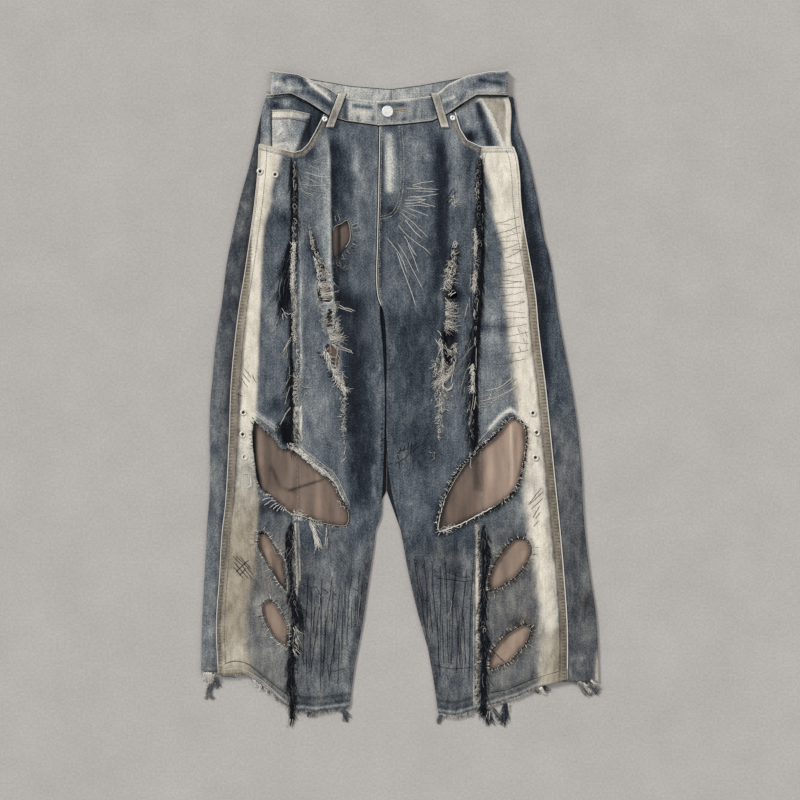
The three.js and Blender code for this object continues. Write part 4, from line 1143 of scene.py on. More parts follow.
# %% The waistband halves
WAIST_Y = 525
BAND_SEAM_LEFT = [[-213, 485], [-174, 489], [-147, 476], [-115, 455], [-88, 446], [-28, 438]]
BAND_SEAM_RIGHT = [[-37, 438], [6, 441], [51, 446], [77, 458], [99, 473], [122, 487], [173, 486]]
BAND_TOP_LEFT = [[-206, WAIST_Y], [-163, 520], [-112, 497], [-98, 487], [-82, 482], [-28, 476]]
BAND_TOP_RIGHT = [[-37, 476], [-24, 477.3], [-4, 479.3], [32, 483], [48, 485], [62, 491], [77, 504],
                  [107, 517],
                  [142, 524], [173, WAIST_Y]]
BACK_TOP = [[-206, WAIST_Y], [-133, 511.5], [-78, 502], [-14, 497], [32, 503], [85, 512.5], [107, 517],
            [173, WAIST_Y]]
BAND_RISE, BAND_EDGE = 1.0, 6.0


def band_height(x):
    """Height of the middle of the band where it lies on the fronts."""
    return front_height(x, 440) + BAND_RISE


def lapped_band_height(x):
    """The same for the half with the buttonhole, which laps over the other one."""
    return band_height(x) + (BAND_WALL + GAP) * (1 - step(-24, -4, x))


def band_half(name, sign, side, seam, top, fly_x, height, wash):
    """Half the band: with u from the centre back along the surface, half round the side fold, and over the
    front to the fly; with v from its seam to its top edge."""
    start = -14 + sign * GAP
    back_x = np.linspace(start, side - sign * BAND_EDGE, 60)
    top_z = float(height(side - sign * BAND_EDGE))
    radius = (top_z - BAND_WALL / 2) / 2
    turn = np.linspace(0, math.pi, 9)[1:-1]
    turn_x = side - sign * (BAND_EDGE - (BAND_EDGE - BAND_WALL / 2) * np.sin(turn))
    front_x = np.linspace(side - sign * BAND_EDGE, fly_x, 72)
    x = np.concatenate([back_x, turn_x, front_x])[None, :]
    z = np.concatenate([0 * back_x + BAND_WALL / 2, BAND_WALL / 2 + radius * (1 - np.cos(turn)),
                        height(front_x)])
    on_back = np.concatenate([0 * back_x + 1, 0 * turn + 1, 0 * front_x])[None, :]
    low = np.where(on_back > 0, np.interp(x, *np.array(BACK_SEAM).T), np.interp(x, *np.array(seam).T)) + GAP
    high = np.where(on_back > 0, np.interp(x, *np.array(BACK_TOP).T), np.interp(x, *np.array(top).T))
    v = np.linspace(0, 1, 17)[:, None]
    y = low * (1 - v) + high * v
    x = x + 0 * v
    puff = 0.5 * np.sin(math.pi * v) * (1 - on_back)
    share = v + 0 * x
    piece, area = cloth_piece(name, x, y, z[None, :] + puff, BAND_WALL, DENIM,
                              wash(x, y, share, on_back + 0 * v),
                              flip=sign > 0, nodes=(name,))
    print(f"{name}: {area * 1e4:.0f} cm2")
    return piece, area


def wash_band_left(x, y, share, on_back):
    """Blotched: grey at the side, a dark arch over a pale foot, a crease drawn in tone as a white ridge of
    painted highlight and bleach with painted shade under it, painted shade beside the left belt loop, pale at
    the button."""
    tone = 0.6 + 0.1 * step(-104, -130, x) + 0.26 * step(-88, -82, x)
    tone = shaded(x, y, tone - 0.3 * step(-93, -88, x) * (1 - step(-85, -80, x)), [
        ([[-190, 508], [-178, 516], [-160, 513], [-148, 498]], -0.34, 5, 6, 0.1),
        ([[-153, 514], [-134, 498], [-106, 474]], 0.5, 3, 3, 0.16),
        ([[-160, 496], [-136, 486], [-106, 464]], -0.34, 6, 8, 0.1),
        ([[-136, 508], [-104, 488]], -0.16, 3, 3, 0.2), ([[-126, 504], [-104, 491]], 0.14, 2, 2, 0.2),
        ([[-79, 471], [-60, 468], [-40, 466]], -0.42, 3, 3, 0.2)], [
        (-196, 504, 8, 4, 0.26), (-170, 497, 22, 4, 0.22), (-166, 492, 4, 8, -0.2), (-43, 449, 4, 6, -0.3),
        (-66, 451, 4, 5, -0.24), (-76, 480, 10, 2, -0.16)])
    cream = 0.34 * (1 - on_back) * step(-86, -80, x) * blot(x, y, -62, 458, 24, 7)
    cream = cream + 0.34 * soft_line(x, y, [[-142, 508], [-108, 484]], 5, 5)
    return layers_of(np.where(on_back > 0, 0.84, tone), np.where(on_back > 0, 0.12, cream),
                     0.7 * cream * (1 - on_back))


def wash_band_right(x, y, share, on_back):
    """Blotched: folds drawn in tone as pale painted highlight and grey painted shade, black by the buttonhole,
    painted shade left of the right belt loop, dark above the pocket and pale under that.
    """
    tone = 0.7 - 0.09 * step(100, 130, x) + 0.2 * (1 - step(0.0, 0.12, share)) + 0.22 * step(0.86, 0.97, share)
    tone = shaded(x, y, tone, [
        ([[122, 511], [142, 508], [166, 504]], -0.36, 3.5, 3, 0.1),
        ([[68, 476], [92, 486]], 0.24, 2.5, 2.5, 0.2),
        ([[74, 466], [94, 478]], 0.2, 2, 2, 0.2), ([[96, 474], [106, 494]], -0.24, 3, 3, 0.2)], [
        (142, 494, 30, 5, 0.2), (160, 516, 18, 4, -0.16), (-26, 470, 12, 7, -0.3), (2, 471, 9, 3.5, -0.4),
        (54, 468, 4, 16, -0.34), (24, 456, 2.5, 7, -0.24), (35, 456, 2.5, 7, -0.2), (76, 470, 10, 4, -0.26),
        (40, 482, 16, 3, -0.2), (120, 500, 14, 5, -0.14), (6, 448, 4, 3, -0.3)])
    cream = shaded(x, y, 0, (), [(160, 494, 16, 5, 0.3), (-34, 458, 6, 12, 0.2), (22, 458, 22, 5, 0.2)])
    return layers_of(np.where(on_back > 0, 0.8 - 0.16 * step(20, 80, x), tone),
                     np.where(on_back > 0, 0.1, cream), 0.4 * cream * (1 - on_back))


BANDS = {
    "waistband_left": band_half("waistband_left", -1, -206, BAND_SEAM_LEFT, BAND_TOP_LEFT, -29, band_height,
                                wash_band_left),
    "waistband_right": band_half("waistband_right", 1, 173, BAND_SEAM_RIGHT, BAND_TOP_RIGHT, -37,
                                 lapped_band_height, wash_band_right),
}

# %% Belt loops
LOOP_HALF, LOOP_CLEAR = 6.0, 0.9


def loop_height(x):
    """Height of the middle of a belt loop: over the band, with a little clearance."""
    return band_height(x) + BAND_WALL / 2 + GAP + LOOP_WALL / 2 + LOOP_CLEAR


def belt_loop(name, top_point, bottom_point):
    """A folded strip from above the band to below it, arched over it, with its two edges rolled."""
    v = np.linspace(0, 1, 27)[:, None]
    u = np.linspace(-1, 1, 9)[None, :]
    middle = bottom_point[0] * (1 - v) + top_point[0] * v
    x = middle + u * LOOP_HALF
    y = bottom_point[1] * (1 - v) + top_point[1] * v + 0 * u
    z = loop_height(middle) + 0.5 * np.sin(math.pi * v) - 0.5 * np.abs(u) ** 4
    tone = 0.6 + 0.3 * np.abs(u) ** 3 - 0.34 * np.exp(-(((v - 0.3) / 0.14) ** 2)) * (1 - np.abs(u) ** 3) + 0 * x
    pale = 0.3 + 0.5 * np.abs(u) ** 2 + 0.3 * step(0.86, 0.97, v) + 0.4 * (1 - step(0.03, 0.12, v)) + 0 * x
    piece, area = cloth_piece(name, x, y, z, LOOP_WALL, DENIM,
                              layers_of(tone, 0.6 * pale, 0.5), nodes=(name,))
    return piece, area


LOOPS = [belt_loop("belt_loop_left", (-92, 489), (-112, 435)),
         belt_loop("belt_loop_right", (56, 490), (72, 435))]
print("belt loops:", [p.name for p, _ in LOOPS])

# %% [markdown]
# ## Threads
# Everything that frays here is cotton thread: blue-black warp that hangs in long strands, and bleached weft
# that
# curls up in short tufts. A strand starts somewhere, leaves in a direction, and bends as it goes: its
# heading is a
# steady turn plus one wave, both its own. It lies on the cloth below it, and drops to the surface past the
# hems.

# %% Where a thread lies, and how it runs
HEM_LINE = [[-318, -432], [-290, -439], [-247, -436], [-223, -454], [-172, -494], [-133, -497], [-81, -490],
            [61, -500], [88, -504], [122, -494], [190, -473], [223, -457], [267, -447], [318, -450]]
BLACK, NAVY, SLATE, TAUPE, CREAM, WHITE = 0.05, 0.24, 0.42, 0.58, 0.82, 0.96


def cloth_top(x, y):
    """Height of the upper face of the fronts, and of the surface just past the hems."""
    z = np.where(x > smooth_line(INSEAM_RIGHT, y), overlap_height(x, y), front_height(x, y)) + DENIM_WALL / 2
    off = step(0, 16, np.interp(x, *np.array(HEM_LINE).T) - y)
    return z * (1 - off) + 0.6 * off


def strands(x, y, heading, length, curl, tint, radius=0.36, lift=1.6, marks=6):
    """Strands from (x, y): each heading in degrees turns steadily and waves once, by amounts drawn from
    curl in radians; it rises from the cloth and comes down again, and thins to half at its end."""
    n = len(x)
    s = np.linspace(0, 1, marks)[None, :]
    turn = RNG.normal(0, curl, (n, 1)) * s
    wave = RNG.normal(0, 0.6 * curl, (n, 1)) * np.sin(RNG.uniform(0, math.tau, (n, 1)) + 5.5 * s)
    angle = np.radians(heading)[:, None] + turn + wave
    stride = np.asarray(length)[:, None] / (marks - 1)
    px = x[:, None] + np.cumsum(np.cos(angle) * stride, axis=1)
    py = y[:, None] + np.cumsum(np.sin(angle) * stride, axis=1)
    rise = lift * RNG.uniform(0.2, 1, (n, 1)) * np.sin(math.pi * (0.15 + 0.75 * s))
    pz = cloth_top(px, py) + radius + rise
    shade = np.clip(RNG.normal(tint[0], tint[1], n), 0, 1)
    return np.stack([px, py, pz], -1), radius * (1 - 0.5 * s) * np.ones((n, 1)), shade


def seam_strands(line, top, bottom, count, offset, spread, heading, turn, length, curl, tint, radius=0.36,
                 lift=1.6):
    """Strands rooted at random places along a seam line [y, x] from top down to bottom, offset to one side."""
    y = RNG.uniform(bottom, top, count)
    x = smooth_line(line, y) + offset + RNG.normal(0, spread, count)
    angle = heading + RNG.normal(0, turn, count)
    return strands(x, y, angle, RNG.uniform(0.55, 1.35, count) * length, curl, tint, radius, lift)


def drawn(lines, tint, radius=0.42, marks=12, clearance=0.1, wander=0.12, height=cloth_top):
    """Threads sewn or laid along lines of marks [x, y]: even steps along each, with a slight wander."""
    paths = []
    for line in lines:
        p, t = walked(line)
        s = np.linspace(0, t[-1], marks)
        px, py = np.interp(s, t, p[:, 0]), np.interp(s, t, p[:, 1])
        paths.append(np.stack([px, py], -1) + RNG.normal(0, wander, (marks, 2)))
    paths = np.array(paths)
    z = height(paths[..., 0], paths[..., 1]) + radius + clearance
    n = len(paths)
    ends = np.concatenate([[0.5], np.ones(marks - 2), [0.5]])
    shade = np.clip(RNG.normal(tint[0], tint[1], n), 0, 1)
    return np.concatenate([paths, z[..., None]], -1), radius * ends[None, :] * np.ones((n, 1)), shade


# %% [markdown]
# ## Raw seams
# Where the panels of a leg meet, the seam allowance is left outside and washed until only its threads
# remain: a
# black rope of warp with white curls in it above, and white tufts with black strands hanging past them below.

# %% Frayed raw seams
ROPE_UPPER_LEFT = [[392, -169], [300, -168.5], [250, -171], [170, -176], [140, -174.5], [-62, -173]]
KNOTS_LEFT = [[252, -168], [214, -170.5], [176, -170], [160, -167], [112, -166.5], [64, -163.5], [40, -166],
              [-4, -167]]
ROPE_UPPER_RIGHT = [[392, 127], [300, 127], [232, 128.5], [176, 125], [120, 121], [60, 119], [0, 119.5],
                    [-72, 119]]
EDGE_UPPER_RIGHT = [[392, 131.5], [232, 132], [176, 129], [120, 125], [60, 122.5], [-68, 123]]
ROPE_LOWER_LEFT = [[-190, -173], [-215, -178.5], [-248, -177], [-288, -174.5], [-312, -171], [-328, -166],
                   [-344, -164],
                   [-362, -168], [-400, -172], [-432, -173.5], [-448, -171], [-480, -171.5], [-512, -174]]
ROPE_LOWER_RIGHT = [[-190, 132], [-240, 135], [-300, 134], [-340, 132], [-380, 136], [-440, 134], [-490, 133]]


def curls(line, top, bottom, offset, half, pitch, tint, radius=0.4, lean=18):
    """Small loops of thread down a line: each is four fifths of an oval, half wide and 0.6 pitch long, that
    leans by its own few degrees and starts anywhere round itself."""
    n = max(1, int((top - bottom) / pitch))
    cy = top - pitch * (np.arange(n) + 0.5) + RNG.normal(0, 0.3 * pitch, n)
    cx = smooth_line(line, cy) + offset + RNG.normal(0, 0.3 * half, n)
    a = np.linspace(0, 0.8 * math.tau, 9)[None, :] + RNG.uniform(0, math.tau, (n, 1))
    u, v = half * RNG.uniform(0.45, 1.1, (n, 1)) * np.cos(a), 0.6 * pitch * RNG.uniform(0.7, 1.5,
                                                                                        (n, 1)) * np.sin(a)
    t = np.radians(RNG.normal(0, lean, (n, 1)))
    px, py = cx[:, None] + u * np.cos(t) - v * np.sin(t), cy[:, None] + u * np.sin(t) + v * np.cos(t)
    pz = cloth_top(px, py) + radius + 2.0 + 0.6 * np.sin(a)
    return np.stack([px, py, pz], -1), radius * np.ones(px.shape), np.clip(RNG.normal(tint[0], tint[1], n), 0,
                                                                           1)


thread_piece("fray_upper_left", [
    *[seam_strands(ROPE_UPPER_LEFT, *row) for row in (
        (392, 250, 190, 0, 2.5, -90, 4, 30, 0.16, (BLACK, 0.04), 0.5),
        (392, 262, 50, -4.6, 0.5, -90, 3, 30, 0.12, (BLACK, 0.04), 0.5, 2.0),
        (380, 244, 16, 0, 2.0, -90, 4, 24, 0.2, (SLATE, 0.1), 0.4, 2.8))],
    *[curls(ROPE_UPPER_LEFT, *row) for row in (
        (378, 246, 0.8, 2.6, 6.0, (TAUPE, 0.14), 0.36),
        (376, 334, 0.6, 1.9, 12, (CREAM, 0.08), 0.42, 3),
        (290, 246, 1.5, 2.2, 8, (CREAM, 0.1), 0.4))],
    drawn([[[-162.8, 377], [-162.4, 330], [-162.6, 269]]], (TAUPE, 0.02), 0.45, 14, 0.2, 0.15),
    *[seam_strands(ROPE_UPPER_LEFT, *row) for row in (
        (262, 178, 230, -3.5, 2.6, -101, 5, 42, 0.2, (BLACK, 0.05), 0.44),
        (250, 170, 34, -5, 3.0, -104, 5, 34, 0.25, (NAVY, 0.1), 0.4, 2.4),
        (245, 190, 7, -9, 2.4, -104, 4, 30, 0.2, (SLATE, 0.1), 0.44, 2.8),
        (150, -34, 110, 0, 1.0, -91, 3, 30, 0.14, (BLACK, 0.04), 0.44),
        (60, -20, 40, -3, 1.4, -100, 8, 24, 0.3, (BLACK, 0.06), 0.42),
        (-24, -54, 80, -6, 4.4, -84, 12, 18, 0.4, (BLACK, 0.06), 0.42))],
    seam_strands(KNOTS_LEFT, 252, 176, 330, 0, 1.5, 170, 60, 4.5, 1.4, (WHITE, 0.08), 0.5, 2.8),
    curls(KNOTS_LEFT, 250, 176, 0, 2.2, 4.2, (WHITE, 0.05), 0.5),
    *[seam_strands(KNOTS_LEFT, *row) for row in (
        (176, 146, 50, 0, 0.8, -95, 20, 8, 0.8, (CREAM, 0.1), 0.44, 2.4),
        (142, 92, 190, -0.8, 1.2, 170, 60, 4.5, 1.4, (CREAM, 0.1), 0.46, 2.6))],
    curls(KNOTS_LEFT, 92, 40, 0.5, 2.2, 4.6, (CREAM, 0.14), 0.42),
    seam_strands(KNOTS_LEFT, 90, 40, 70, 0.5, 1.5, 180, 70, 4.5, 1.4, (TAUPE, 0.16), 0.42, 2.2),
    curls(KNOTS_LEFT, 40, -4, 0, 3.6, 4.4, (CREAM, 0.1), 0.46),
    seam_strands(KNOTS_LEFT, 38, -6, 60, 0, 2.2, -70, 50, 7, 1.2, (CREAM, 0.12), 0.42, 2.4),
    drawn([[[-166, -18], [-164, -24], [-167, -30]], [[-165, -36], [-163, -42]], [[-167, -48], [-164, -54]],
           [[-163, -16], [-165, -22]], [[-166, -58], [-163, -62]]], (BLACK, 0.05), 0.6, 6, 0.6),
    drawn([[[-157, 22], [-150, 20.5], [-142, 19]], [[-173, 139], [-178, 137], [-185, 140], [-189, 147]],
           [[-176, 54], [-176.5, 40], [-172, 38]], [[-176, 37], [-179, 30], [-182, 25]],
           [[-176, 21], [-181, 4], [-184, -8]], [[-175, -12], [-181, -20], [-192, -40]]],
          (CREAM, 0.08), 0.46, 12, 1.4, 0.3),
    drawn([[[-173, 101], [-179, 92], [-187, 76]], [[-176, 96], [-183, 86], [-184, 70]],
           [[-174, 98], [-181, 84], [-180, 66]],
           [[-196, 126], [-201, 114], [-206, 108]], [[-198, 118], [-200, 110]], [[-188, 138], [-186, 128]],
           [[-186, 140], [-180, 130]], [[-149, 12], [-153, 8]], [[-148, 10], [-144, 6]]],
          (CREAM, 0.1), 0.46, 9, 1.2, 0.4),
], nodes=("fray_upper_left",))

thread_piece("fray_upper_right", [
    *[seam_strands(ROPE_UPPER_RIGHT, *row) for row in (
        (392, 270, 260, 0.3, 2.2, -90, 4, 26, 0.2, (BLACK, 0.04), 0.5),
        (270, 130, 250, 1.0, 2.2, -93, 4, 28, 0.2, (BLACK, 0.04), 0.5),
        (130, -60, 300, -0.6, 2.0, -91, 5, 28, 0.25, (BLACK, 0.05), 0.48))],
    seam_strands(EDGE_UPPER_RIGHT, 386, -40, 250, 0, 0.7, -91, 2, 30, 0.1, (BLACK, 0.03), 0.5, 2.2),
    seam_strands(ROPE_UPPER_RIGHT, 120, -50, 90, -7, 3.2, -99, 6, 30, 0.3, (NAVY, 0.1), 0.42),
    *[curls(ROPE_UPPER_RIGHT, *row) for row in (
        (386, 120, -1.2, 2.6, 5.0, (SLATE, 0.14), 0.38),
        (370, 300, -4.4, 1.8, 6.5, (TAUPE, 0.14), 0.38),
        (344, 318, -3.6, 2.6, 5.5, (CREAM, 0.1), 0.46))],
    curls(EDGE_UPPER_RIGHT, 296, 262, -0.6, 1.2, 9, (TAUPE, 0.1), 0.4, 4),
    seam_strands(ROPE_UPPER_RIGHT, 274, 230, 120, -7.5, 1.2, -95, 40, 5, 1.4, (CREAM, 0.08), 0.46, 2.6),
    *[curls(ROPE_UPPER_RIGHT, *row) for row in (
        (272, 232, -7.5, 1.8, 4.4, (WHITE, 0.05), 0.46),
        (232, 208, -5, 3.4, 5.0, (TAUPE, 0.16), 0.42))],
    seam_strands(ROPE_UPPER_RIGHT, 210, 180, 110, -7, 1.2, -92, 16, 8, 0.6, (CREAM, 0.1), 0.46, 2.6),
    curls(ROPE_UPPER_RIGHT, 176, 84, -1.5, 2.8, 7.0, (SLATE, 0.2), 0.38),
    drawn([[[111, 164], [110.5, 156], [111, 146]], [[119, 145], [118.8, 136], [119.4, 128]],
           [[124, 157], [123, 148], [123.4, 140]],
           [[112, 200], [112.5, 188], [111, 180]], [[103, 132], [106, 146], [108, 154]],
           [[120, 100], [119.5, 92], [120.4, 86]],
           [[122, 84], [121.4, 64], [122, 50]], [[118, 12], [116, -6], [113, -20], [115, -26]],
           [[121, 6], [119, -10], [117, -16]]],
          (CREAM, 0.08), 0.5, 8, 1.8),
    seam_strands(ROPE_UPPER_RIGHT, 60, 20, 120, -2.6, 1.3, -92, 14, 9, 0.6, (WHITE, 0.08), 0.48, 2.8),
    drawn([[[118, 88], [100, 66], [88, 50], [74, 42]], [[112, 60], [104, 42], [98, 22], [96, 6]]],
          (TAUPE, 0.04),
          0.4, 12, 1.6),
    drawn([[[101, 30], [98, 24]], [[104, 22], [102, 14], [105, 10]], [[109, -14], [107, -20]],
           [[104, -34], [107, -40]],
           [[112, -6], [110, -12], [112, -18]], [[96, 24], [93, 18]], [[84, -6], [86, -14], [88, -6]]],
          (TAUPE, 0.1), 0.46, 7, 1.4),
    seam_strands(ROPE_UPPER_RIGHT, 10, -60, 26, -3, 3.6, -95, 14, 9, 0.6, (TAUPE, 0.16), 0.4, 2.8),
    drawn([[[130, 391], [129, 387], [131, 384]], [[127, 389], [130, 386]]], (WHITE, 0.05), 0.5, 6, 2.0),
], nodes=("fray_upper_right",))

thread_piece("fray_lower_left", [
    *[seam_strands(ROPE_LOWER_LEFT, *row) for row in (
        (-190, -470, 560, 0, 1.8, -90, 4, 26, 0.25, (BLACK, 0.05), 0.5),
        (-300, -340, 40, 3, 1.8, -80, 8, 24, 0.3, (BLACK, 0.06), 0.44),
        (-400, -446, 24, -3, 1.2, -98, 5, 26, 0.2, (BLACK, 0.06), 0.44),
        (-200, -480, 120, 0, 2.2, -90, 7, 20, 0.5, (SLATE - 0.08, 0.12), 0.36, 3.0))],
    curls(ROPE_LOWER_LEFT, -240, -330, -1, 3.0, 9, (SLATE, 0.14), 0.34),
    *[seam_strands(RAW_SEAM_LEFT, *row) for row in (
        (-200, -300, 130, 1.6, 0.6, -88, 14, 5, 0.6, (CREAM, 0.1), 0.4, 0.8),
        (-420, -470, 110, 1.0, 1.8, -10, 34, 5, 0.9, (CREAM, 0.1), 0.42, 0.8))],
    *[seam_strands(ROPE_LOWER_LEFT, *row) for row in (
        (-356, -400, 50, 1.5, 2.6, -66, 12, 13, 0.5, (CREAM, 0.12), 0.46, 2.8),
        (-350, -390, 40, -4, 2.0, -110, 14, 12, 0.5, (BLACK, 0.08), 0.42, 2.4),
        (-398, -404, 14, 2, 1.4, 14, 10, 9, 0.5, (BLACK, 0.04), 0.5, 2.6))],
    drawn([[[-180, -248], [-174, -240], [-168, -226]],
           [[-204, -232], [-198, -246], [-186, -244], [-176, -236]],
           [[-184, -378], [-190, -388], [-194, -396]], [[-170, -360], [-178, -352], [-184, -344]]],
          (TAUPE, 0.1), 0.42, 10, 1.4),
    *[seam_strands(ROPE_LOWER_LEFT, *row) for row in (
        (-500, -512, 22, 0, 2.4, -100, 16, 7, 0.6, (CREAM, 0.1), 0.46, 1.6),
        (-470, -498, 90, 0, 1.6, -90, 5, 20, 0.2, (BLACK, 0.05), 0.5))],
], nodes=("fray_lower_left",))

thread_piece("fray_lower_right", [
    *[seam_strands(ROPE_LOWER_RIGHT, *row) for row in (
        (-192, -462, 600, 0, 1.8, -90, 4, 26, 0.25, (BLACK, 0.05), 0.5),
        (-210, -262, 50, 3.5, 1.4, -76, 7, 16, 0.4, (BLACK, 0.08), 0.42),
        (-370, -396, 40, 2, 1.6, -76, 9, 16, 0.5, (BLACK, 0.08), 0.42))],
    *[seam_strands(RAW_SEAM_RIGHT, *row) for row in (
        (-194, -486, 260, -3, 1.0, 4, 34, 5.5, 1.1, (CREAM, 0.12), 0.42, 1.2),
        (-194, -486, 120, -2.6, 1.2, 50, 14, 5, 0.6, (BLACK, 0.08), 0.4, 1.6))],
    seam_strands(ROPE_LOWER_RIGHT, -200, -480, 130, 0.3, 2.2, -88, 8, 20, 0.5, (SLATE - 0.08, 0.14), 0.36,
                 3.0),
    curls(ROPE_LOWER_RIGHT, -354, -372, -0.5, 2.2, 6, (TAUPE, 0.1), 0.42),
    drawn([[[133, -300], [136, -312], [139, -322]], [[141, -320], [138.5, -336], [140, -350]],
           [[133, -436], [131, -448], [134, -460]], [[136, -205], [139, -214], [138, -222]]],
          (TAUPE, 0.12), 0.46, 10, 1.8),
    seam_strands(ROPE_LOWER_RIGHT, -470, -492, 90, 1.0, 2.4, -92, 7, 16, 0.4, (BLACK, 0.1), 0.48),
], nodes=("fray_lower_right",))

# %% [markdown]
# ## Torn thighs
# A rip down the grain breaks the blue warp and leaves the white weft strung across it. Where the weft has gone
# too, there is a hole with a thick rolled edge of loose white thread.

# %% Threads strung across the rips
def strung(centre, half, top, bottom, count, tint, radius=0.4, tilt=18, curl=0.35, lift=1.4):
    """Weft threads across a rip: rooted on its left edge, x = centre(y) - half(y), and as long as it is
    wide."""
    y = RNG.uniform(bottom, top, count)
    width = smooth_line(half, y)
    x = smooth_line(centre, y) - width + RNG.normal(0, 0.8, count)
    return strands(x, y, RNG.normal(0, tilt, count), 2 * width * RNG.uniform(0.6, 1.15, count) + 1.5, curl,
                   tint,
                   radius, lift)


def edge_strands(line, count, spread, turn, length, curl, tint, radius=0.42, lift=2.2):
    """Strands rooted along a line of marks [x, y] that run on along it."""
    p, t = walked(line)
    s = RNG.uniform(0, t[-1], count)
    i = np.clip(np.searchsorted(t, s, side="right") - 1, 0, len(p) - 2)
    heading = np.degrees(np.arctan2(*(p[i + 1] - p[i]).T[::-1])) + RNG.normal(0, turn, count)
    x = np.interp(s, t, p[:, 0]) + RNG.normal(0, spread, count)
    y = np.interp(s, t, p[:, 1]) + RNG.normal(0, spread, count)
    return strands(x, y, heading, RNG.uniform(0.6, 1.3, count) * length, curl, tint, radius, lift)


RIP_LEFT = [[279, -142.7], [261, -141.6], [242, -137], [218, -126], [197, -125], [181, -120], [160, -117],
            [150, -113], [114, -111], [100, -105], [84, -104]]
RIP_LEFT_HALF = [[279, 0.8], [261, 2.2], [242, 3.2], [218, 4.5], [197, 6], [183, 10.5], [160, 11.5], [150, 9],
                 [114, 9], [100, 12], [84, 11]]
RIP_RIGHT = [[256, 89], [232, 86], [205, 82.5], [182, 80], [150, 79], [118, 79]]
RIP_RIGHT_HALF = [[256, 1.2], [232, 4.2], [205, 7], [182, 9.5], [150, 10], [118, 10]]

thread_piece("rip_threads_left", [
    strung(RIP_LEFT, RIP_LEFT_HALF, 262, 186, 60, (CREAM, 0.12), 0.42, 30, 0.7, 2.0),
    *[curls(RIP_LEFT, *row) for row in (
        (278, 240, -0.6, 2.0, 4.6, (CREAM, 0.08), 0.46),
        (262, 186, 0.0, 3.2, 4.0, (CREAM, 0.12), 0.42, 30))],
    seam_strands([[242, -141], [218, -133], [186, -129]], 232, 186, 60, 0, 0.9, -80, 16, 8, 0.5, (WHITE, 0.08),
                 0.46, 2.2),
    seam_strands([[242, -133], [218, -121], [186, -113]], 225, 186, 40, 0, 1.2, -72, 16, 8, 0.5, (CREAM, 0.1),
                 0.44, 2.2),
    seam_strands(RIP_LEFT, 250, 190, 60, 0, 2.4, -75, 20, 7, 0.6, (BLACK, 0.05), 0.5, 2.6),
    drawn([[[-135.6, 267], [-126, 232], [-117, 202]]], (TAUPE, 0.03), 0.46, 12, 0.3, 0.2),
    strung(RIP_LEFT, RIP_LEFT_HALF, 186, 156, 54, (CREAM, 0.12), 0.42, 10, 0.25, 1.4),
    edge_strands([[-109, 188], [-105, 160], [-103, 140], [-101, 112]], 130, 1.6, 35, 8, 1.1, (WHITE, 0.08)),
    edge_strands([[-131, 190], [-131, 160], [-123, 140], [-120, 112]], 80, 1.2, 40, 6, 1.0, (CREAM, 0.12)),
    seam_strands([[150, -125], [114, -121]], 148, 114, 46, 0, 1.0, 0, 22, 7, 0.6, (CREAM, 0.12), 0.5),
    seam_strands([[150, -101], [114, -99]], 150, 112, 60, 0, 1.5, 180, 34, 7.5, 0.8, (WHITE, 0.08), 0.48),
    strung(RIP_LEFT, RIP_LEFT_HALF, 112, 90, 80, (CREAM, 0.12), 0.44, 24, 0.5, 2.2),
    edge_strands([[-121, 84], [-112, 58], [-100, 36], [-90, 18]], 150, 1.2, 22, 11, 0.7, (WHITE, 0.08), 0.5,
                 2.8),
    edge_strands([[-128, 78], [-112, 50], [-96, 22]], 90, 2.2, 40, 6, 1.2, (BLACK, 0.08), 0.4, 0.8),
    edge_strands([[-99, 90], [-98, 58], [-96, 34]], 44, 1.4, 12, 15, 0.5, (CREAM, 0.14), 0.42),
    seam_strands([[18, -90], [-30, -90], [-85, -88]], 16, -50, 90, 0, 1.5, -80, 70, 6, 1.8, (CREAM, 0.12),
                 0.42),
    seam_strands([[18, -90], [-30, -90], [-85, -88]], -50, -100, 26, 0, 0.8, -90, 25, 6, 0.9, (CREAM, 0.12),
                 0.38),
    drawn([[[-98, 152], [-88, 147], [-80, 146], [-72, 142]], [[-98, 148], [-86, 144], [-76, 140]],
           [[-98, 86], [-88, 83], [-80, 80], [-74, 74]], [[-97, 82], [-86, 78], [-76, 76]],
           [[-100, 26], [-92, 22], [-86, 16], [-83, 10]], [[-101, 22], [-93, 17], [-87, 8]]],
          (WHITE, 0.06), 0.6, 9, 1.2, 0.4),
])

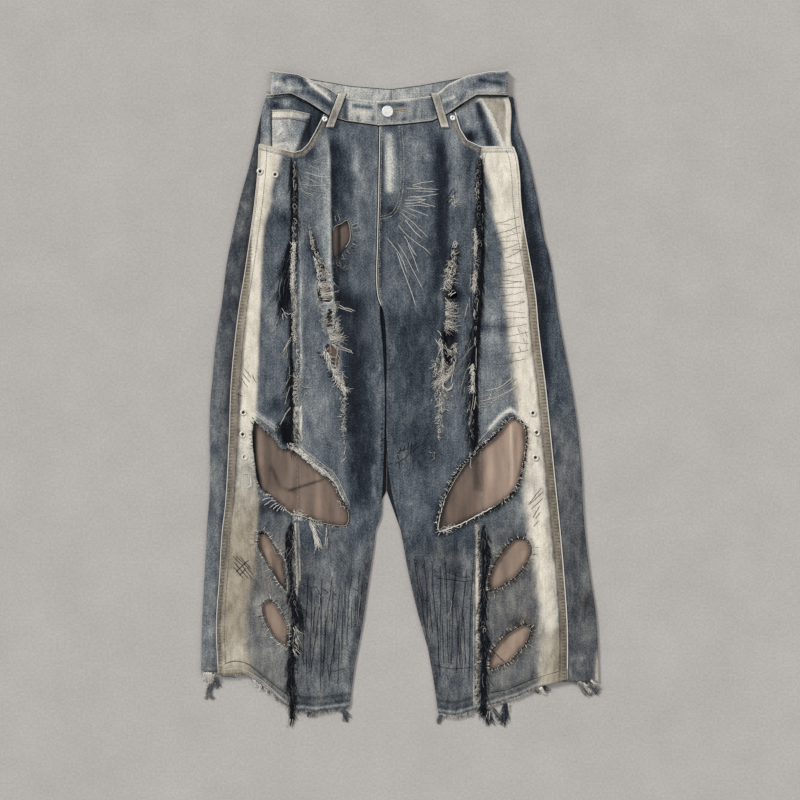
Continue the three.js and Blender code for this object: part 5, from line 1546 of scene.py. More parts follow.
thread_piece("rip_threads_right", [
    strung(RIP_RIGHT, RIP_RIGHT_HALF, 252, 176, 90, (CREAM, 0.14), 0.42, 34, 0.7, 2.2),
    curls(RIP_RIGHT, 254, 178, 0.0, 3.6, 4.2, (CREAM, 0.14), 0.42, 40),
    seam_strands([[250, 87], [222, 79], [200, 76], [176, 71]], 226, 176, 50, 0, 1.0, -120, 24, 6, 0.7,
                 (CREAM, 0.1), 0.44),
    seam_strands(RIP_RIGHT, 250, 180, 90, 0, 3.6, -60, 34, 7, 0.8, (BLACK, 0.06), 0.48, 2.6),
    strung(RIP_RIGHT, RIP_RIGHT_HALF, 158, 112, 66, (CREAM, 0.16), 0.42, 18, 0.5, 2.4),
    seam_strands([[158, 74], [112, 70]], 158, 112, 54, 0, 1.2, -30, 20, 10, 0.6, (CREAM, 0.12), 0.46, 2.6),
    seam_strands([[158, 90], [112, 88]], 158, 112, 40, 0, 1.2, -150, 20, 8, 0.6, (TAUPE, 0.14), 0.42, 2.6),
    drawn([[[91, 176], [84, 174], [78, 168], [72, 162]], [[72, 163], [78, 156], [82, 150]],
           [[91, 172], [85, 170], [80, 166]], [[60, 112], [66, 104], [70, 92]],
           [[57, 96], [63, 88], [68, 78]]],
          (WHITE, 0.06), 0.6, 8, 1.0, 0.5),
    edge_strands([[64, 100], [68, 78], [70, 58], [64, 34]], 120, 1.3, 12, 15, 0.4, (CREAM, 0.1), 0.5, 2.8),
    edge_strands([[87, 94], [86, 66], [82, 44]], 70, 1.2, 14, 12, 0.5, (CREAM, 0.14), 0.44, 2.6),
    edge_strands([[72, 84], [78, 80], [84, 84]], 34, 0.8, 16, 9, 0.5, (CREAM, 0.1), 0.44, 2.6),
    edge_strands([[85, 46], [74, 36], [62, 28]], 90, 1.5, 12, 13, 0.5, (CREAM, 0.1), 0.48, 3.0),
    drawn([[[70, 30], [67, 24], [70, 18], [77, 15], [83, 19], [84, 27]],
           [[71, 28], [69, 23], [72, 18], [78, 17], [82, 22]]], (CREAM, 0.05), 0.9, 10, 1.2, 0.4),
    edge_strands([[60, 70], [55, 56], [58, 42]], 34, 1.2, 30, 8, 1.6, (CREAM, 0.12), 0.42, 2.4),
    seam_strands([[18, 66], [-16, 63]], 18, -18, 90, 0, 5.0, -90, 60, 9, 1.5, (CREAM, 0.16), 0.42, 2.2),
    seam_strands([[-16, 64], [-60, 61], [-96, 54]], -18, -64, 60, 0, 2.0, -90, 50, 6, 1.6, (CREAM, 0.14), 0.4,
                 2.0),
    seam_strands([[-80, 55], [-98, 52]], -80, -98, 10, 0, 1.6, -90, 40, 7, 1.4, (TAUPE, 0.14), 0.4, 1.6),
    drawn([[[113, 84], [104, 68], [96, 56], [86, 44]], [[113, 96], [108, 80], [100, 64]]], (TAUPE, 0.1), 0.42,
          12,
          1.4),
    seam_strands([[330, 84], [312, 86]], 330, 310, 34, 0, 2.0, -90, 70, 6, 1.6, (CREAM, 0.14), 0.4, 1.8),
    drawn([[[71, 318], [80, 330], [86, 340]], [[74, 314], [82, 326]], [[76, 309], [84, 320], [88, 334]]],
          (BLACK, 0.08), 0.5, 8, 0.4),
])

# %% [markdown]
# ## Edges of the holes
# The knee and leaf openings are overcast by hand: short stitches stand across the edge, dark and white by
# turns.
# Round the leaves and the heart the stitches are longer and wider apart, like lashes.

# %% Overcast edges
def lashes(outline, spacing, inwards, outwards, turn, tints, radius=0.42, lift=0.9, keep=None):
    """Stitches across a closed outline: from inside it to outside, square to it but for a random turn."""
    p, t = walked(outline, closed=True)
    s = np.arange(0, t[-1], spacing) + RNG.uniform(-0.35, 0.35, int(math.ceil(t[-1] / spacing))) * spacing
    x, y = np.interp(s, t, p[:, 0]), np.interp(s, t, p[:, 1])
    ahead, behind = (s + 4) % t[-1], (s - 4) % t[-1]
    tx = np.interp(ahead, t, p[:, 0]) - np.interp(behind, t, p[:, 0])
    ty = np.interp(ahead, t, p[:, 1]) - np.interp(behind, t, p[:, 1])
    around = np.sum(p[:-1, 0] * p[1:, 1] - p[1:, 0] * p[:-1, 1])
    out = np.degrees(np.arctan2(-tx * np.sign(around), ty * np.sign(around))) + RNG.normal(0, turn, len(s))
    if keep is not None:
        chosen = keep(x, y)
        x, y, out = x[chosen], y[chosen], out[chosen]
    reach_in, reach_out = inwards * RNG.uniform(0.4, 1.2, len(x)), outwards * RNG.uniform(0.45, 1.3, len(x))
    x0, y0 = x - np.cos(np.radians(out)) * reach_in, y - np.sin(np.radians(out)) * reach_in
    paths, radii, _ = strands(x0, y0, out, reach_in + reach_out, 0.3, (0, 0), radius, lift, 5)
    tint = np.clip(RNG.choice(tints, len(x)) + RNG.normal(0, 0.06, len(x)), 0, 1)
    return paths, radii, tint


def rim(outline, radius, tint, offset=0.0, keep=None):
    """A thread or rolled edge that follows a closed outline, in stretches of 12 mm that overlap."""
    p, t = walked(outline, closed=True)
    starts = np.arange(0, t[-1], 11.0)
    s = (starts[:, None] + np.linspace(0, 12, 7)[None, :]) % t[-1]
    x, y = np.interp(s, t, p[:, 0]), np.interp(s, t, p[:, 1])
    if offset:
        middle = outline.mean(axis=0)
        away = np.hypot(x - middle[0], y - middle[1])
        x, y = x + offset * (x - middle[0]) / away, y + offset * (y - middle[1]) / away
    if keep is not None:
        chosen = keep(x[:, 3], y[:, 3])
        x, y = x[chosen], y[chosen]
    z = cloth_top(x, y) + LIP + 0.1
    return np.stack([x, y, z], -1), radius * np.ones(x.shape), np.full(len(x), tint)


knee_left, knee_right = HOLES["knee_left"], HOLES["knee_right"]
thread_piece("knee_edge_left", [
    rim(knee_left, 1.0, BLACK, 1.4, lambda x, y: (y < -120) & (x > -150)),
    lashes(knee_left, 1.5, 0.9, 3.8, 22, [BLACK, NAVY, CREAM, WHITE], 0.48, 3.3),
    rim(knee_left, 0.8, CREAM, 0.4, lambda x, y: y < -176),
    drawn([[[-233, -17], [-214, -32], [-195, -46]], [[-229, -24], [-212, -38], [-198, -50]],
           [[-168, -68], [-146, -85], [-124, -102], [-110, -112], [-99, -126], [-89, -148], [-79, -170]],
           [[-164, -72], [-148, -86], [-126, -104], [-112, -115], [-101, -130], [-91, -150], [-81, -172]],
           [[-166, -76], [-150, -90], [-128, -108], [-113, -119], [-102, -137], [-92, -156], [-82, -177]]],
          (CREAM, 0.08), 0.5, 22, 1.0, 0.3),
    seam_strands([[-74, -168], [-112, -118], [-150, -97], [-178, -88]], -74, -176, 60, -1.5, 2.0, -35, 22, 6,
                 0.8,
                 (CREAM, 0.2), 0.44, 2.4),
    # The black lines just under the pale threads of the lower edge band are painted shadow beneath its tufts.
    drawn([[[-150, -90], [-138, -99], [-126, -107]], [[-122, -108], [-112, -118], [-102, -134]],
           [[-100, -136], [-92, -152], [-84, -168]], [[-96, -148], [-88, -164], [-80, -182]]],
          (BLACK, 0.05), 0.6, 12, 0.7, 0.6),
    # Straight black threads down the left edge are painted shadow between the cloth's edge and the satin.
    edge_strands([[-235, -44], [-235.5, -88], [-229, -120]], 40, 0.6, 4, 26, 0.08, (BLACK, 0.03), 0.7, 0.8),
    edge_strands([[-190, -34], [-178, -64], [-172, -74]], 120, 3.6, 24, 14, 0.5, (BLACK, 0.06), 0.46, 1.6),
    edge_strands([[-176, -69], [-170, -78]], 26, 1.4, 50, 6, 1.4, (WHITE, 0.06), 0.5, 2.8),
    lashes(knee_left, 2.4, 4.0, 0.6, 30, [CREAM, TAUPE], 0.4, 2.6, lambda x, y: (y > -72) & (x > -226)),
    edge_strands([[-220, -142], [-204, -156], [-184, -172]], 26, 1.6, 14, 3, 0.3, (BLACK, 0.05), 0.5, 2.0),
    drawn([[[-206, -153], [-212, -150], [-219, -152]], [[-202, -157], [-210, -156], [-220, -160]],
           [[-197, -160], [-206, -161], [-217, -168]], [[-194, -164], [-200, -166], [-208, -172]],
           [[-192, -167], [-198, -170], [-203, -175]], [[-188, -168], [-193, -173], [-197, -178]],
           [[-186, -170], [-190, -176]], [[-183, -171], [-187, -178]]], (WHITE, 0.06), 0.56, 10, 1.6, 0.2),
    lashes(knee_left, 2.8, 1.0, 4.2, 50, [CREAM, TAUPE, BLACK], 0.45, 2.6, lambda x, y: x < -222),
    edge_strands([[-172, -182], [-158, -188]], 60, 2.5, 40, 9, 1.2, (WHITE, 0.08), 0.46),
    edge_strands([[-148, -184], [-140, -200], [-134, -222]], 50, 1.3, 8, 20, 0.3, (WHITE, 0.06), 0.52, 3.0),
    edge_strands([[-144, -186], [-132, -198]], 14, 1.0, 16, 12, 0.5, (CREAM, 0.1), 0.44, 2.6),
    edge_strands([[-118, -198], [-117, -224]], 12, 0.6, 8, 15, 0.3, (CREAM, 0.1), 0.46, 2.6),
    drawn([[[-120, -205], [-106, -206], [-92, -206], [-82, -200], [-79, -190]]], (TAUPE, 0.03), 0.5, 16, 0.8,
          0.3),
    drawn([[[-252, -118], [-244, -116], [-238, -124], [-238, -136], [-244, -140]]], (WHITE, 0.04), 0.6, 12,
          1.4),
])

thread_piece("knee_edge_right", [
    rim(knee_right, 1.7, BLACK, 2.4, lambda x, y: (y > -196) & ((y < -42) | (x > 196))),
    lashes(knee_right, 2.1, 0.3, 5.6, 30, [BLACK, CREAM, WHITE, WHITE], 0.6, 4.6),
    lashes(knee_right, 1.9, 1.2, 1.6, 24, [BLACK, CREAM, WHITE], 0.46, 2.8),
    rim(knee_right, 0.8, WHITE, 0.4, lambda x, y: (y < -150) & (x < 150)),
    drawn([[[57, -196], [66, -168], [84, -134], [104, -102], [128, -76], [150, -54], [170, -36]],
           [[124, -68], [146, -44], [166, -22], [180, -19], [203, -38]]], (CREAM, 0.05), 0.55, 30, 1.0, 0.3),
    # The black cord along the right edge is painted shadow.
    drawn([[[203, -44], [206, -68], [198, -112], [184, -146]]], (BLACK, 0.03), 0.7, 20, 0.3, 0.3),
    lashes(knee_right, 1.6, 3.0, 5.0, 14, [CREAM, WHITE, BLACK, TAUPE], 0.44, 2.6, lambda x,
           y: (y > -180) & (x < 176)),
    lashes(knee_right, 2.6, 1.5, 5.0, 24, [CREAM, TAUPE], 0.46, 2.6, lambda x, y: (x > 150) & (y < -80)),
    edge_strands([[60, -204], [72, -208], [86, -202]], 40, 2.2, 40, 9, 1.0, (CREAM, 0.14), 0.44),
    drawn([[[112, -84], [113, -96], [112, -106], [116, -110]]], (CREAM, 0.04), 0.55, 10, 0.6),
])

thread_piece("leaf_stitches", [
    group for key, hole in HOLES.items() if key.startswith("leaf") for group in (
        rim(hole, 0.6, BLACK, 0.9),
        lashes(hole, 4.6, 2.4, 4.6, 12, [WHITE, WHITE, CREAM], 0.68, 2.4),
        lashes(hole, 4.4, 1.2, 5.6, 14, [BLACK, NAVY], 0.56, 2.0),
        lashes(hole, 6.0, 0.6, 10.5, 12, [TAUPE, SLATE, CREAM], 0.42, 1.6),
    )] + [drawn([[[140, -394], [152, -404], [166, -418]]], (BLACK, 0.02), 0.7, 10, 0.2)])

thread_piece("heart_stitches", [
    rim(HOLES["heart"], 0.6, BLACK, 0.7),
    rim(HOLES["heart"], 0.5, CREAM, -0.6, lambda x, y: ((x > -84) & (y < 268)) | (y > 276)),
    lashes(HOLES["heart"], 1.7, 0.2, 10.5, 7, [TAUPE, CREAM, BLACK], 0.5, 1.4, lambda x,
           y: (x > -101) & (y < 282)),
    lashes(HOLES["heart"], 3.0, 0.6, 5.0, 24, [BLACK, NAVY, TAUPE], 0.4, 1.6),
    drawn([[[-116, 286], [-106, 280]], [[-116, 278], [-108, 275]], [[-114, 270], [-107, 268]]], (CREAM, 0.06),
          0.4, 6),
    edge_strands([[-106, 224], [-96, 216], [-88, 210]], 20, 2.2, 40, 8, 1.0, (TAUPE, 0.14), 0.36),
])

# %% [markdown]
# ## Hand stitching
# Loose single stitches are drawn over the cloth like pencil lines: a fan of white ones below the fly,
# whiskers at
# the hip, a ladder of grey ones over the bleached side, and rows of long black ones down both shins.

# %% Single stitches
FLY_FAN = [
    [[19, 343], [36, 347], [54, 349]], [[20, 342], [36, 339]], [[10, 338.5], [62, 336]],
    [[23, 334], [56, 332]],
    [[13, 324], [38, 325], [61, 329]], [[7, 319], [20, 319], [41, 320]], [[7, 314], [22, 314], [42, 320]],
    [[24, 323], [36, 322]], [[28, 316], [44, 312], [57, 308]], [[7, 309], [30, 311], [48, 308]],
    [[14, 306], [47, 293]], [[3, 304], [27, 292]], [[1, 300], [22, 282], [46, 258]],
    [[8, 288], [22, 270], [36, 257]],
    [[-3, 279], [12, 262], [26, 251], [42, 240], [50, 231]], [[7, 262], [17, 244], [27, 229]],
    [[-20, 258], [-3, 237], [5, 222], [12, 201]], [[-5, 236], [5, 208], [19, 170], [26, 147]],
    [[-4, 251], [8, 232], [19, 210], [38, 174]], [[13, 248], [24, 222], [30, 203]],
]
HIP_WHISKERS = [
    [[-140, 380], [-128, 384], [-115, 384]], [[-140, 377], [-130, 380], [-116, 381]],
    [[-144, 374], [-128, 366]],
    [[-151, 364], [-134, 357], [-114, 354]], [[-152, 357], [-143, 352], [-134, 345]],
    [[-142, 352], [-126, 342]],
    [[-158, 344], [-140, 342], [-114, 341]], [[-156, 341], [-138, 334], [-119, 330]],
    [[-160, 338], [-148, 328], [-137, 322]], [[-149, 326], [-136, 315]], [[-149, 331], [-137, 326]],
]
SIDE_LADDER = [
    [[153, 282], [166, 284], [191, 293]], [[153, 281], [176, 280]], [[144, 263], [176, 271], [192, 278]],
    [[176, 271], [184, 266], [193, 267]], [[145, 256], [168, 260], [184, 265]], [[136, 253], [190, 254]],
    [[150, 239], [170, 242], [192, 250]], [[178, 239], [193, 240]], [[168, 227], [180, 231], [194, 240]],
    [[136, 222], [160, 222], [194, 217]], [[136, 202], [160, 204], [194, 214]],
    [[152, 200], [180, 199], [196, 202]],
    [[152, 196], [176, 198]], [[160, 192], [194, 188]], [[146, 182], [172, 186], [196, 190]],
    [[146, 182], [168, 179], [197, 180]], [[156, 166], [176, 168], [198, 173]],
    [[132, 157], [170, 156], [199, 158]],
    [[168, 150], [184, 152], [199, 157]], [[160, 143], [200, 139]], [[150, 128], [178, 131], [202, 132]],
    [[140, 118], [170, 116], [203, 121]], [[152, 104], [176, 102], [204, 108]],
    [[150, 88], [180, 92], [206, 90]],
    [[146, 72], [178, 74], [206, 80]], [[150, 56], [176, 60], [200, 66]],
]
SHIN_LEFT = [
    [[-147, -279], [-148, -320], [-151, -358]], [[-155, -340], [-154, -426]],
    [[-142, -299], [-141, -343], [-144, -429]],
    [[-133, -299], [-126, -314]], [[-127, -315], [-132, -358], [-143, -438]],
    [[-125, -285], [-126, -380], [-127, -466]],
    [[-108, -281], [-118, -358], [-124, -442]], [[-107, -296], [-108, -358]],
    [[-97, -306], [-101, -363], [-113, -446]],
    [[-87, -289], [-88, -320], [-88, -363]], [[-97, -386], [-99, -452]],
    [[-77, -279], [-82, -315], [-85, -395]],
    [[-71, -312], [-72, -363]], [[-64, -272], [-68, -306]], [[-78, -330], [-77, -366]],
    [[-60, -290], [-66, -346]],
    [[-115, -420], [-113, -448]], [[-136, -330], [-139, -372]], [[-119, -335], [-121, -420]],
    [[-91, -330], [-93, -400]],
    [[-150, -402], [-149, -440]], [[-104, -340], [-106, -420]],
]
SHIN_LEFT_ROWS = [[[-156, -296], [-144, -298], [-133, -299]], [[-124, -301], [-114, -308]],
                  [[-109, -305], [-101, -313]],
                  [[-111, -433], [-100, -432], [-88, -428]], [[-76, -300], [-66, -306]]]
SHIN_RIGHT = [
    [[22, -254], [34, -321], [43, -380]], [[38, -256], [43, -306], [44, -365]], [[35, -268], [40, -258]],
    [[51, -257], [54, -321], [61, -380], [64, -442]], [[64, -265], [65, -320], [64, -374]],
    [[71, -251], [74, -291], [75, -344]], [[67, -346], [70, -423]], [[89, -275], [84, -327], [82, -423]],
    [[89, -327], [96, -424]], [[107, -270], [101, -327], [96, -406]], [[117, -260], [112, -344], [110, -448]],
    [[101, -343], [105, -423]], [[75, -350], [77, -420]], [[48, -330], [52, -372]], [[60, -340], [62, -430]],
    [[86, -300], [84, -322]], [[74, -438], [78, -448]], [[94, -350], [90, -436]],
]
SHIN_RIGHT_ROWS = [[[54, -271], [60, -276]], [[77, -275], [95, -282]], [[100, -283], [112, -282]],
                   [[56, -284], [80, -287], [104, -290], [114, -288]], [[36, -319], [46, -321]],
                   [[55, -423], [68, -427], [83, -429], [114, -427]]]
SCRIBBLE = [
    [[-8, -103], [-2, -99], [9, -92], [14, -85]], [[19, -82], [30, -73]], [[18.5, -67], [17, -88]],
    [[14, -68], [12, -80]],
    [[7, -73], [6, -82]], [[1, -75], [0, -81]], [[-4, -88], [-2, -96]], [[-1, -100], [-1, -110]],
    [[-18, -103], [-12, -101]],
    [[-5, -86], [2, -80], [10, -78]], [[20, -75], [28, -68]],
]
SIDE_CROSS = [
    [[-266, -250], [-250, -266], [-236, -286]], [[-262, -249], [-246, -264], [-235, -278]],
    [[-266, -258], [-252, -274], [-242, -285]], [[-256, -250], [-244, -262], [-238, -270]],
    [[-266, -266], [-256, -278], [-250, -284]], [[-262, -274], [-250, -262], [-242, -256]],
    [[-256, -280], [-246, -268]],
]
SIDE_STROKES = [[[-248, 50], [-238, 36]], [[-252, 44], [-240, 28]], [[-254, 36], [-243, 20]],
                [[-236, 40], [-230, 28]],
                [[-262, 10], [-250, 6]]]
RIGHT_STROKES = [[[204, -168], [226, -140]], [[207, -167], [228, -146]], [[210, -174], [228, -157]],
                 [[212, -188], [223, -169]], [[216, -190], [224, -179]], [[213, -202], [221, -193]]]
SLASHES = [[[126, 4], [150, 10], [186, 34]], [[124, -8], [150, -2], [188, 22]],
           [[128, -2], [154, 4], [184, 20]],
           [[136, 14], [160, 20], [180, 36]], [[120, -12], [140, -10], [150, -4]], [[142, 0], [146, 12]]]

thread_piece("hand_stitches", [
    drawn(FLY_FAN, (WHITE, 0.05), 0.5, 10, 0.0, 0.12),
    drawn(HIP_WHISKERS, (CREAM, 0.1), 0.5, 8, 0.0, 0.15),
    drawn(SIDE_LADDER, (SLATE + 0.1, 0.08), 0.34, 12, 0.0, 0.35),
    drawn([[[x, y], [x + 3, y - 9]] for x, y in ((152, 190), (188, 116), (196, 100), (190, 86), (200, 110))],
          (SLATE, 0.08), 0.34, 6, 0.0, 0.3),
    drawn(SHIN_LEFT + SHIN_LEFT_ROWS, (BLACK, 0.08), 0.46, 14, 0.0, 0.25),
    drawn(SHIN_RIGHT + SHIN_RIGHT_ROWS, (BLACK, 0.08), 0.46, 14, 0.0, 0.25),
    drawn([[[x + 3.4, y] for x, y in line[:2]] for line in SHIN_LEFT[::2] + SHIN_RIGHT[::2]], (SLATE, 0.1),
          0.38,
          10, 0.0, 0.4),
    drawn([[[x - 3.0, y - 20] for x, y in line[:2]] for line in SHIN_LEFT[1::2] + SHIN_RIGHT[1::2]],
          (TAUPE, 0.1),
          0.38, 10,
          0.0, 0.4),
    drawn(SCRIBBLE, (BLACK, 0.03), 0.55, 8, 0.1, 0.2),
    drawn(SIDE_CROSS, (BLACK, 0.03), 0.6, 8, 0.1, 0.3),
    drawn(SIDE_STROKES + RIGHT_STROKES, (NAVY, 0.1), 0.45, 6, 0.0, 0.2),
    drawn(SLASHES, (CREAM, 0.08), 0.6, 10, 0.0, 0.15),
    seam_strands([[-34, -30], [-90, -31]], -34, -90, 26, 0, 0.8, 0, 30, 3.5, 0.3, (BLACK, 0.05), 0.4, 0.6),
])

# %% [markdown]
# ## Seams, rolled edges and topstitching
# Wear shows first where cloth is folded over an edge: those edges turn almost white. Black cords lie beside
# the fly, under the band's lower edges and along the belt loops as painted shadow. Topstitching is a lockstitch
# in cotton, one small thread for each stitch.

# %% Rolled edges and topstitch rows
def resampled(line, spacing):
    """Marks [x, y] at even steps of about spacing along a line, and how far along each lies."""
    p, t = walked(line)
    s = np.linspace(0, t[-1], max(2, int(t[-1] / spacing)) + 1)
    return np.interp(s, t, p[:, 0]), np.interp(s, t, p[:, 1]), s


def beside(x, y, offset):
    """The line moved sideways by offset: plus is to the left of someone walking along it."""
    tx, ty = np.gradient(x), np.gradient(y)
    size = np.hypot(tx, ty)
    return x - ty / size * offset, y + tx / size * offset


def rolled(line, radius, tint, offset=0.0, height=cloth_top, lift=0.0):
    """A rolled edge or cord along a line, in one tube."""
    x, y = beside(*resampled(line, 4.0)[:2], offset)
    return np.stack([x, y, height(x, y) + lift], -1)[None], np.full((1, len(x)), radius), np.array([tint])


def topstitch(line, tint, offset=0.0, height=cloth_top, pitch=3.4, length=2.4, radius=0.4):
    """Lockstitches beside a line: one every pitch, each a short arch of three marks."""
    x, y, s = resampled(line, 2.0)
    x, y = beside(x, y, offset)
    at = np.arange(0, s[-1] - length, pitch)[:, None] + np.linspace(0, length, 3)[None, :]
    px, py = np.interp(at, s, x), np.interp(at, s, y)
    pz = height(px, py) + np.array([0.05, 0.4, 0.05])
    shade = np.clip(RNG.normal(tint[0], tint[1], len(at)), 0, 1)
    return np.stack([px, py, pz], -1), np.full(at.shape, radius), shade


def curve_line(curve, top, bottom, spacing=12.0):
    """A seam's marks [y, x] as a line of marks [x, y] from top down to bottom."""
    y = np.linspace(top, bottom, int((top - bottom) / spacing) + 2)
    return np.stack([smooth_line(curve, y), y], -1)


def band_top_face(x, y):
    """Height of the upper face of the waistband."""
    return np.where(x < -37, band_height(x), lapped_band_height(x)) + BAND_WALL / 2


def facing_top(drop):
    """Height of the upper face of a layer this far under the front."""
    return lambda x, y: front_height(x, y) - drop + DENIM_WALL / 2


POCKET_EDGE_LEFT = [[-223, 408], [-195, 401], [-169, 395], [-157, 398], [-146, 409], [-136, 426], [-121, 456]]
POCKET_EDGE_RIGHT = [[88, 459], [91, 449], [96, 432], [107, 414], [129, 404], [180, 404]]
COIN_TOP = [[-205, 462], [-174, 463], [-143, 456]]
COIN_HEM = [[-205, 449], [-174, 450], [-144, 443]]
COIN_SIDE = [[-144, 456], [-145, 430], [-146, 400]]
COIN_SIDE_LEFT = [[-205, 462], [-205, 430], [-205, 404]]
FLY_EDGE = curve_line(INSEAM_RIGHT, 437, 150)
J_STITCH = [[3, 438], [6, 400], [7, 366], [5, 335], [1, 314], [-5, 302], [-12, 294], [-22, 290], [-34, 288]]
OUTSEAM_LINE_LEFT, OUTSEAM_LINE_RIGHT = curve_line(OUTSEAM_LEFT, 407, -438), curve_line(OUTSEAM_RIGHT, 403,
                                                                                        -446)
BAND_HEM_LEFT, BAND_HEM_RIGHT = BAND_SEAM_LEFT, [[-36, 438]] + BAND_SEAM_RIGHT[1:]

# Lines along the belt loops where black cords lie as painted shadow.
LOOP_SHADOW_CORDS = [[[-99.6, 487], [-119.4, 438]], [[-84.8, 489], [-104.6, 436]], [[48.6, 488], [64.4, 438]]]

thread_piece("rolled_edges_and_shadow_cords", [
    rolled(POCKET_EDGE_LEFT, 1.0, 0.9), rolled(POCKET_EDGE_RIGHT, 1.0, 0.95),
    rolled(POCKET_EDGE_LEFT, 0.6, TAUPE, -8.5), rolled(POCKET_EDGE_RIGHT, 0.6, TAUPE, -8.5),
    rolled(COIN_TOP, 0.8, 0.84, 0, facing_top(COIN_DROP), 0.5),
    rolled(COIN_HEM, 0.6, 0.3, -0.8, facing_top(COIN_DROP), 0.3),
    rolled(COIN_SIDE, 0.7, 0.1, 0.8, facing_top(COIN_DROP)),
    rolled(COIN_SIDE_LEFT, 0.7, 0.16, 0, facing_top(COIN_DROP), 0.2),
    # The black cord beside the fly's edge is painted shadow under the lapped front.
    rolled(FLY_EDGE, 0.9, 0.9, 0.3), rolled(FLY_EDGE, 0.6, BLACK, -1.6, front_height, 1.0),
    rolled(OUTSEAM_LINE_LEFT, 0.9, 0.86, 0.2), rolled(OUTSEAM_LINE_RIGHT, 1.0, 0.92, 0.2),
    rolled(BAND_TOP_LEFT, 0.9, 0.9, -0.8, band_top_face, -0.1),
    rolled(BAND_TOP_RIGHT, 0.9, 0.92, -0.8, band_top_face, -0.1),
    # Black cords along the belt loops: painted shadow.
    *[rolled(line, 0.8, BLACK, 0, band_top_face, 0.3) for line in LOOP_SHADOW_CORDS],
    rolled(BAND_HEM_LEFT, 0.8, 0.8, 0.8, band_top_face, -0.4),
    # The black cord under the band's lower edge is painted shadow.
    rolled(BAND_HEM_LEFT, 0.7, BLACK, -0.9, cloth_top, 0.6),
    rolled(BAND_HEM_RIGHT, 0.8, 0.76, 0.8, band_top_face, -0.4),
    # The black cord under the band's lower edge is painted shadow.
    rolled(BAND_HEM_RIGHT, 0.7, BLACK, -0.9, cloth_top, 0.6),
    rolled([[-37, 476], [-37, 439]], 0.9, 0.92, 0.4, band_top_face, -0.3),
    rolled(BACK_TOP, 0.8, SLATE, -0.6, lambda x, y: 0 * x + BAND_WALL + 0.1),
    rolled([[x, y + 8] for x, y in BACK_SEAM], 0.5, SLATE, 0, lambda x, y: 0 * x + BAND_WALL),
])

HEM_LEFT = [[-289, -438], [-247, -436], [-223, -454], [-175, -492]]
HEM_LEFT_INNER = [[-168, -494], [-133, -497], [-83, -490]]
HEM_RIGHT_INNER = [[62, -500], [88, -504], [119, -495]]
HEM_RIGHT = [[126, -493], [190, -473], [223, -457], [266, -447]]
HEMS = [HEM_LEFT, HEM_LEFT_INNER, HEM_RIGHT_INNER, HEM_RIGHT]
thread_piece("topstitching", [
    *[topstitch(POCKET_EDGE_LEFT, (TAUPE, 0.12), d) for d in (-2.6, -6.8)],
    *[topstitch(POCKET_EDGE_RIGHT, (TAUPE + 0.08, 0.12), d) for d in (-2.6, -6.8)],
    topstitch(COIN_TOP, (TAUPE, 0.1), -2.2, facing_top(COIN_DROP)),
    topstitch(COIN_HEM, (TAUPE, 0.1), 1.5, facing_top(COIN_DROP)),
    topstitch(FLY_EDGE, (CREAM, 0.1), 3.2),
    topstitch(J_STITCH, (CREAM, 0.12), 0), topstitch(J_STITCH, (CREAM - 0.1, 0.12), -4.5),
    topstitch(curve_line(INSEAM_RIGHT, 290, 150), (TAUPE, 0.12), 5.5),
    *[topstitch(line, (TAUPE, 0.12), 2.6 * side) for line,
      side in ((OUTSEAM_LINE_LEFT, 1), (OUTSEAM_LINE_RIGHT, -1))],
    *[topstitch(line, (TAUPE - 0.1, 0.12), 12.5 * side)
      for line, side in ((OUTSEAM_LINE_LEFT, 1), (OUTSEAM_LINE_RIGHT, -1))],
    *[topstitch(line, (TAUPE + 0.1, 0.12), d, band_top_face)
      for line, d in ((BAND_TOP_LEFT, -3.6), (BAND_TOP_RIGHT, -3.6), (BAND_HEM_LEFT, 3.4),
                      (BAND_HEM_RIGHT, 3.4))],
    *[topstitch(line, (CREAM - 0.06, 0.12), 7.5) for line in HEMS],
    *[topstitch(curve_line(shifted(curve, by), 395, -480), (TAUPE - 0.06, 0.12))
      for curve, by in ((RAW_SEAM_LEFT, 11), (RAW_SEAM_RIGHT, 9))],
    *[topstitch(curve_line(shifted(curve, by), 80, -470), (SLATE, 0.1))
      for curve, by in ((INSEAM_LEFT, -4), (INSEAM_RIGHT, 4))],
])

# %% Buttonhole
SLOT = [[-9, 461.5], [9, 463.5]]
slot_x, slot_y, _ = resampled(SLOT, 1.1)
thread_piece("buttonhole", [
    (np.stack([np.stack([slot_x, slot_y + side * reach, band_top_face(slot_x, slot_y) + rise], -1)
               for reach, rise in ((0.4, 0.1), (1.7, 0.7), (3.2, 0.1))], 1),
     np.full((len(slot_x), 3), 0.5), RNG.uniform(0.3, 1, len(slot_x))) for side in (-1, 1)],
    material=BUTTONHOLE_THREAD)
thread_piece("buttonhole_slot", [rolled(SLOT, 0.8, BLACK, 0, band_top_face)])

# %% [markdown]
# ## Frayed hems
# The turned hems have worn through at their lowest edge: short white weft stands out all along, and where the
# backs' corners have torn off, shreds of cloth hang by their threads.

# %% Hem fringe and shreds
def hem_strands(line, per_mm, length, tint, turn=22, radius=0.4):
    """Short threads that hang from a hem line of marks [x, y]."""
    x, y, s = resampled(line, 2.0)
    count = int(s[-1] * per_mm)
    at = RNG.uniform(0, s[-1], count)
    return strands(np.interp(at, s, x), np.interp(at, s, y) + 1.5, RNG.normal(-90, turn, count),
                   RNG.uniform(0.3, 1.3, count) * length, 0.6, tint, radius, 0.6)


def shred(x, y, heading, length, width, tint, count=16):
    """A shred of cloth: threads side by side across its width, all running the same way."""
    side = np.radians(heading + 90)
    share = RNG.uniform(-0.5, 0.5, count) * width
    return strands(x + np.cos(side) * share, y + np.sin(side) * share, RNG.normal(heading, 4, count),
                   RNG.uniform(0.75, 1.1, count) * length, 0.3, tint, 0.62, 0.8)


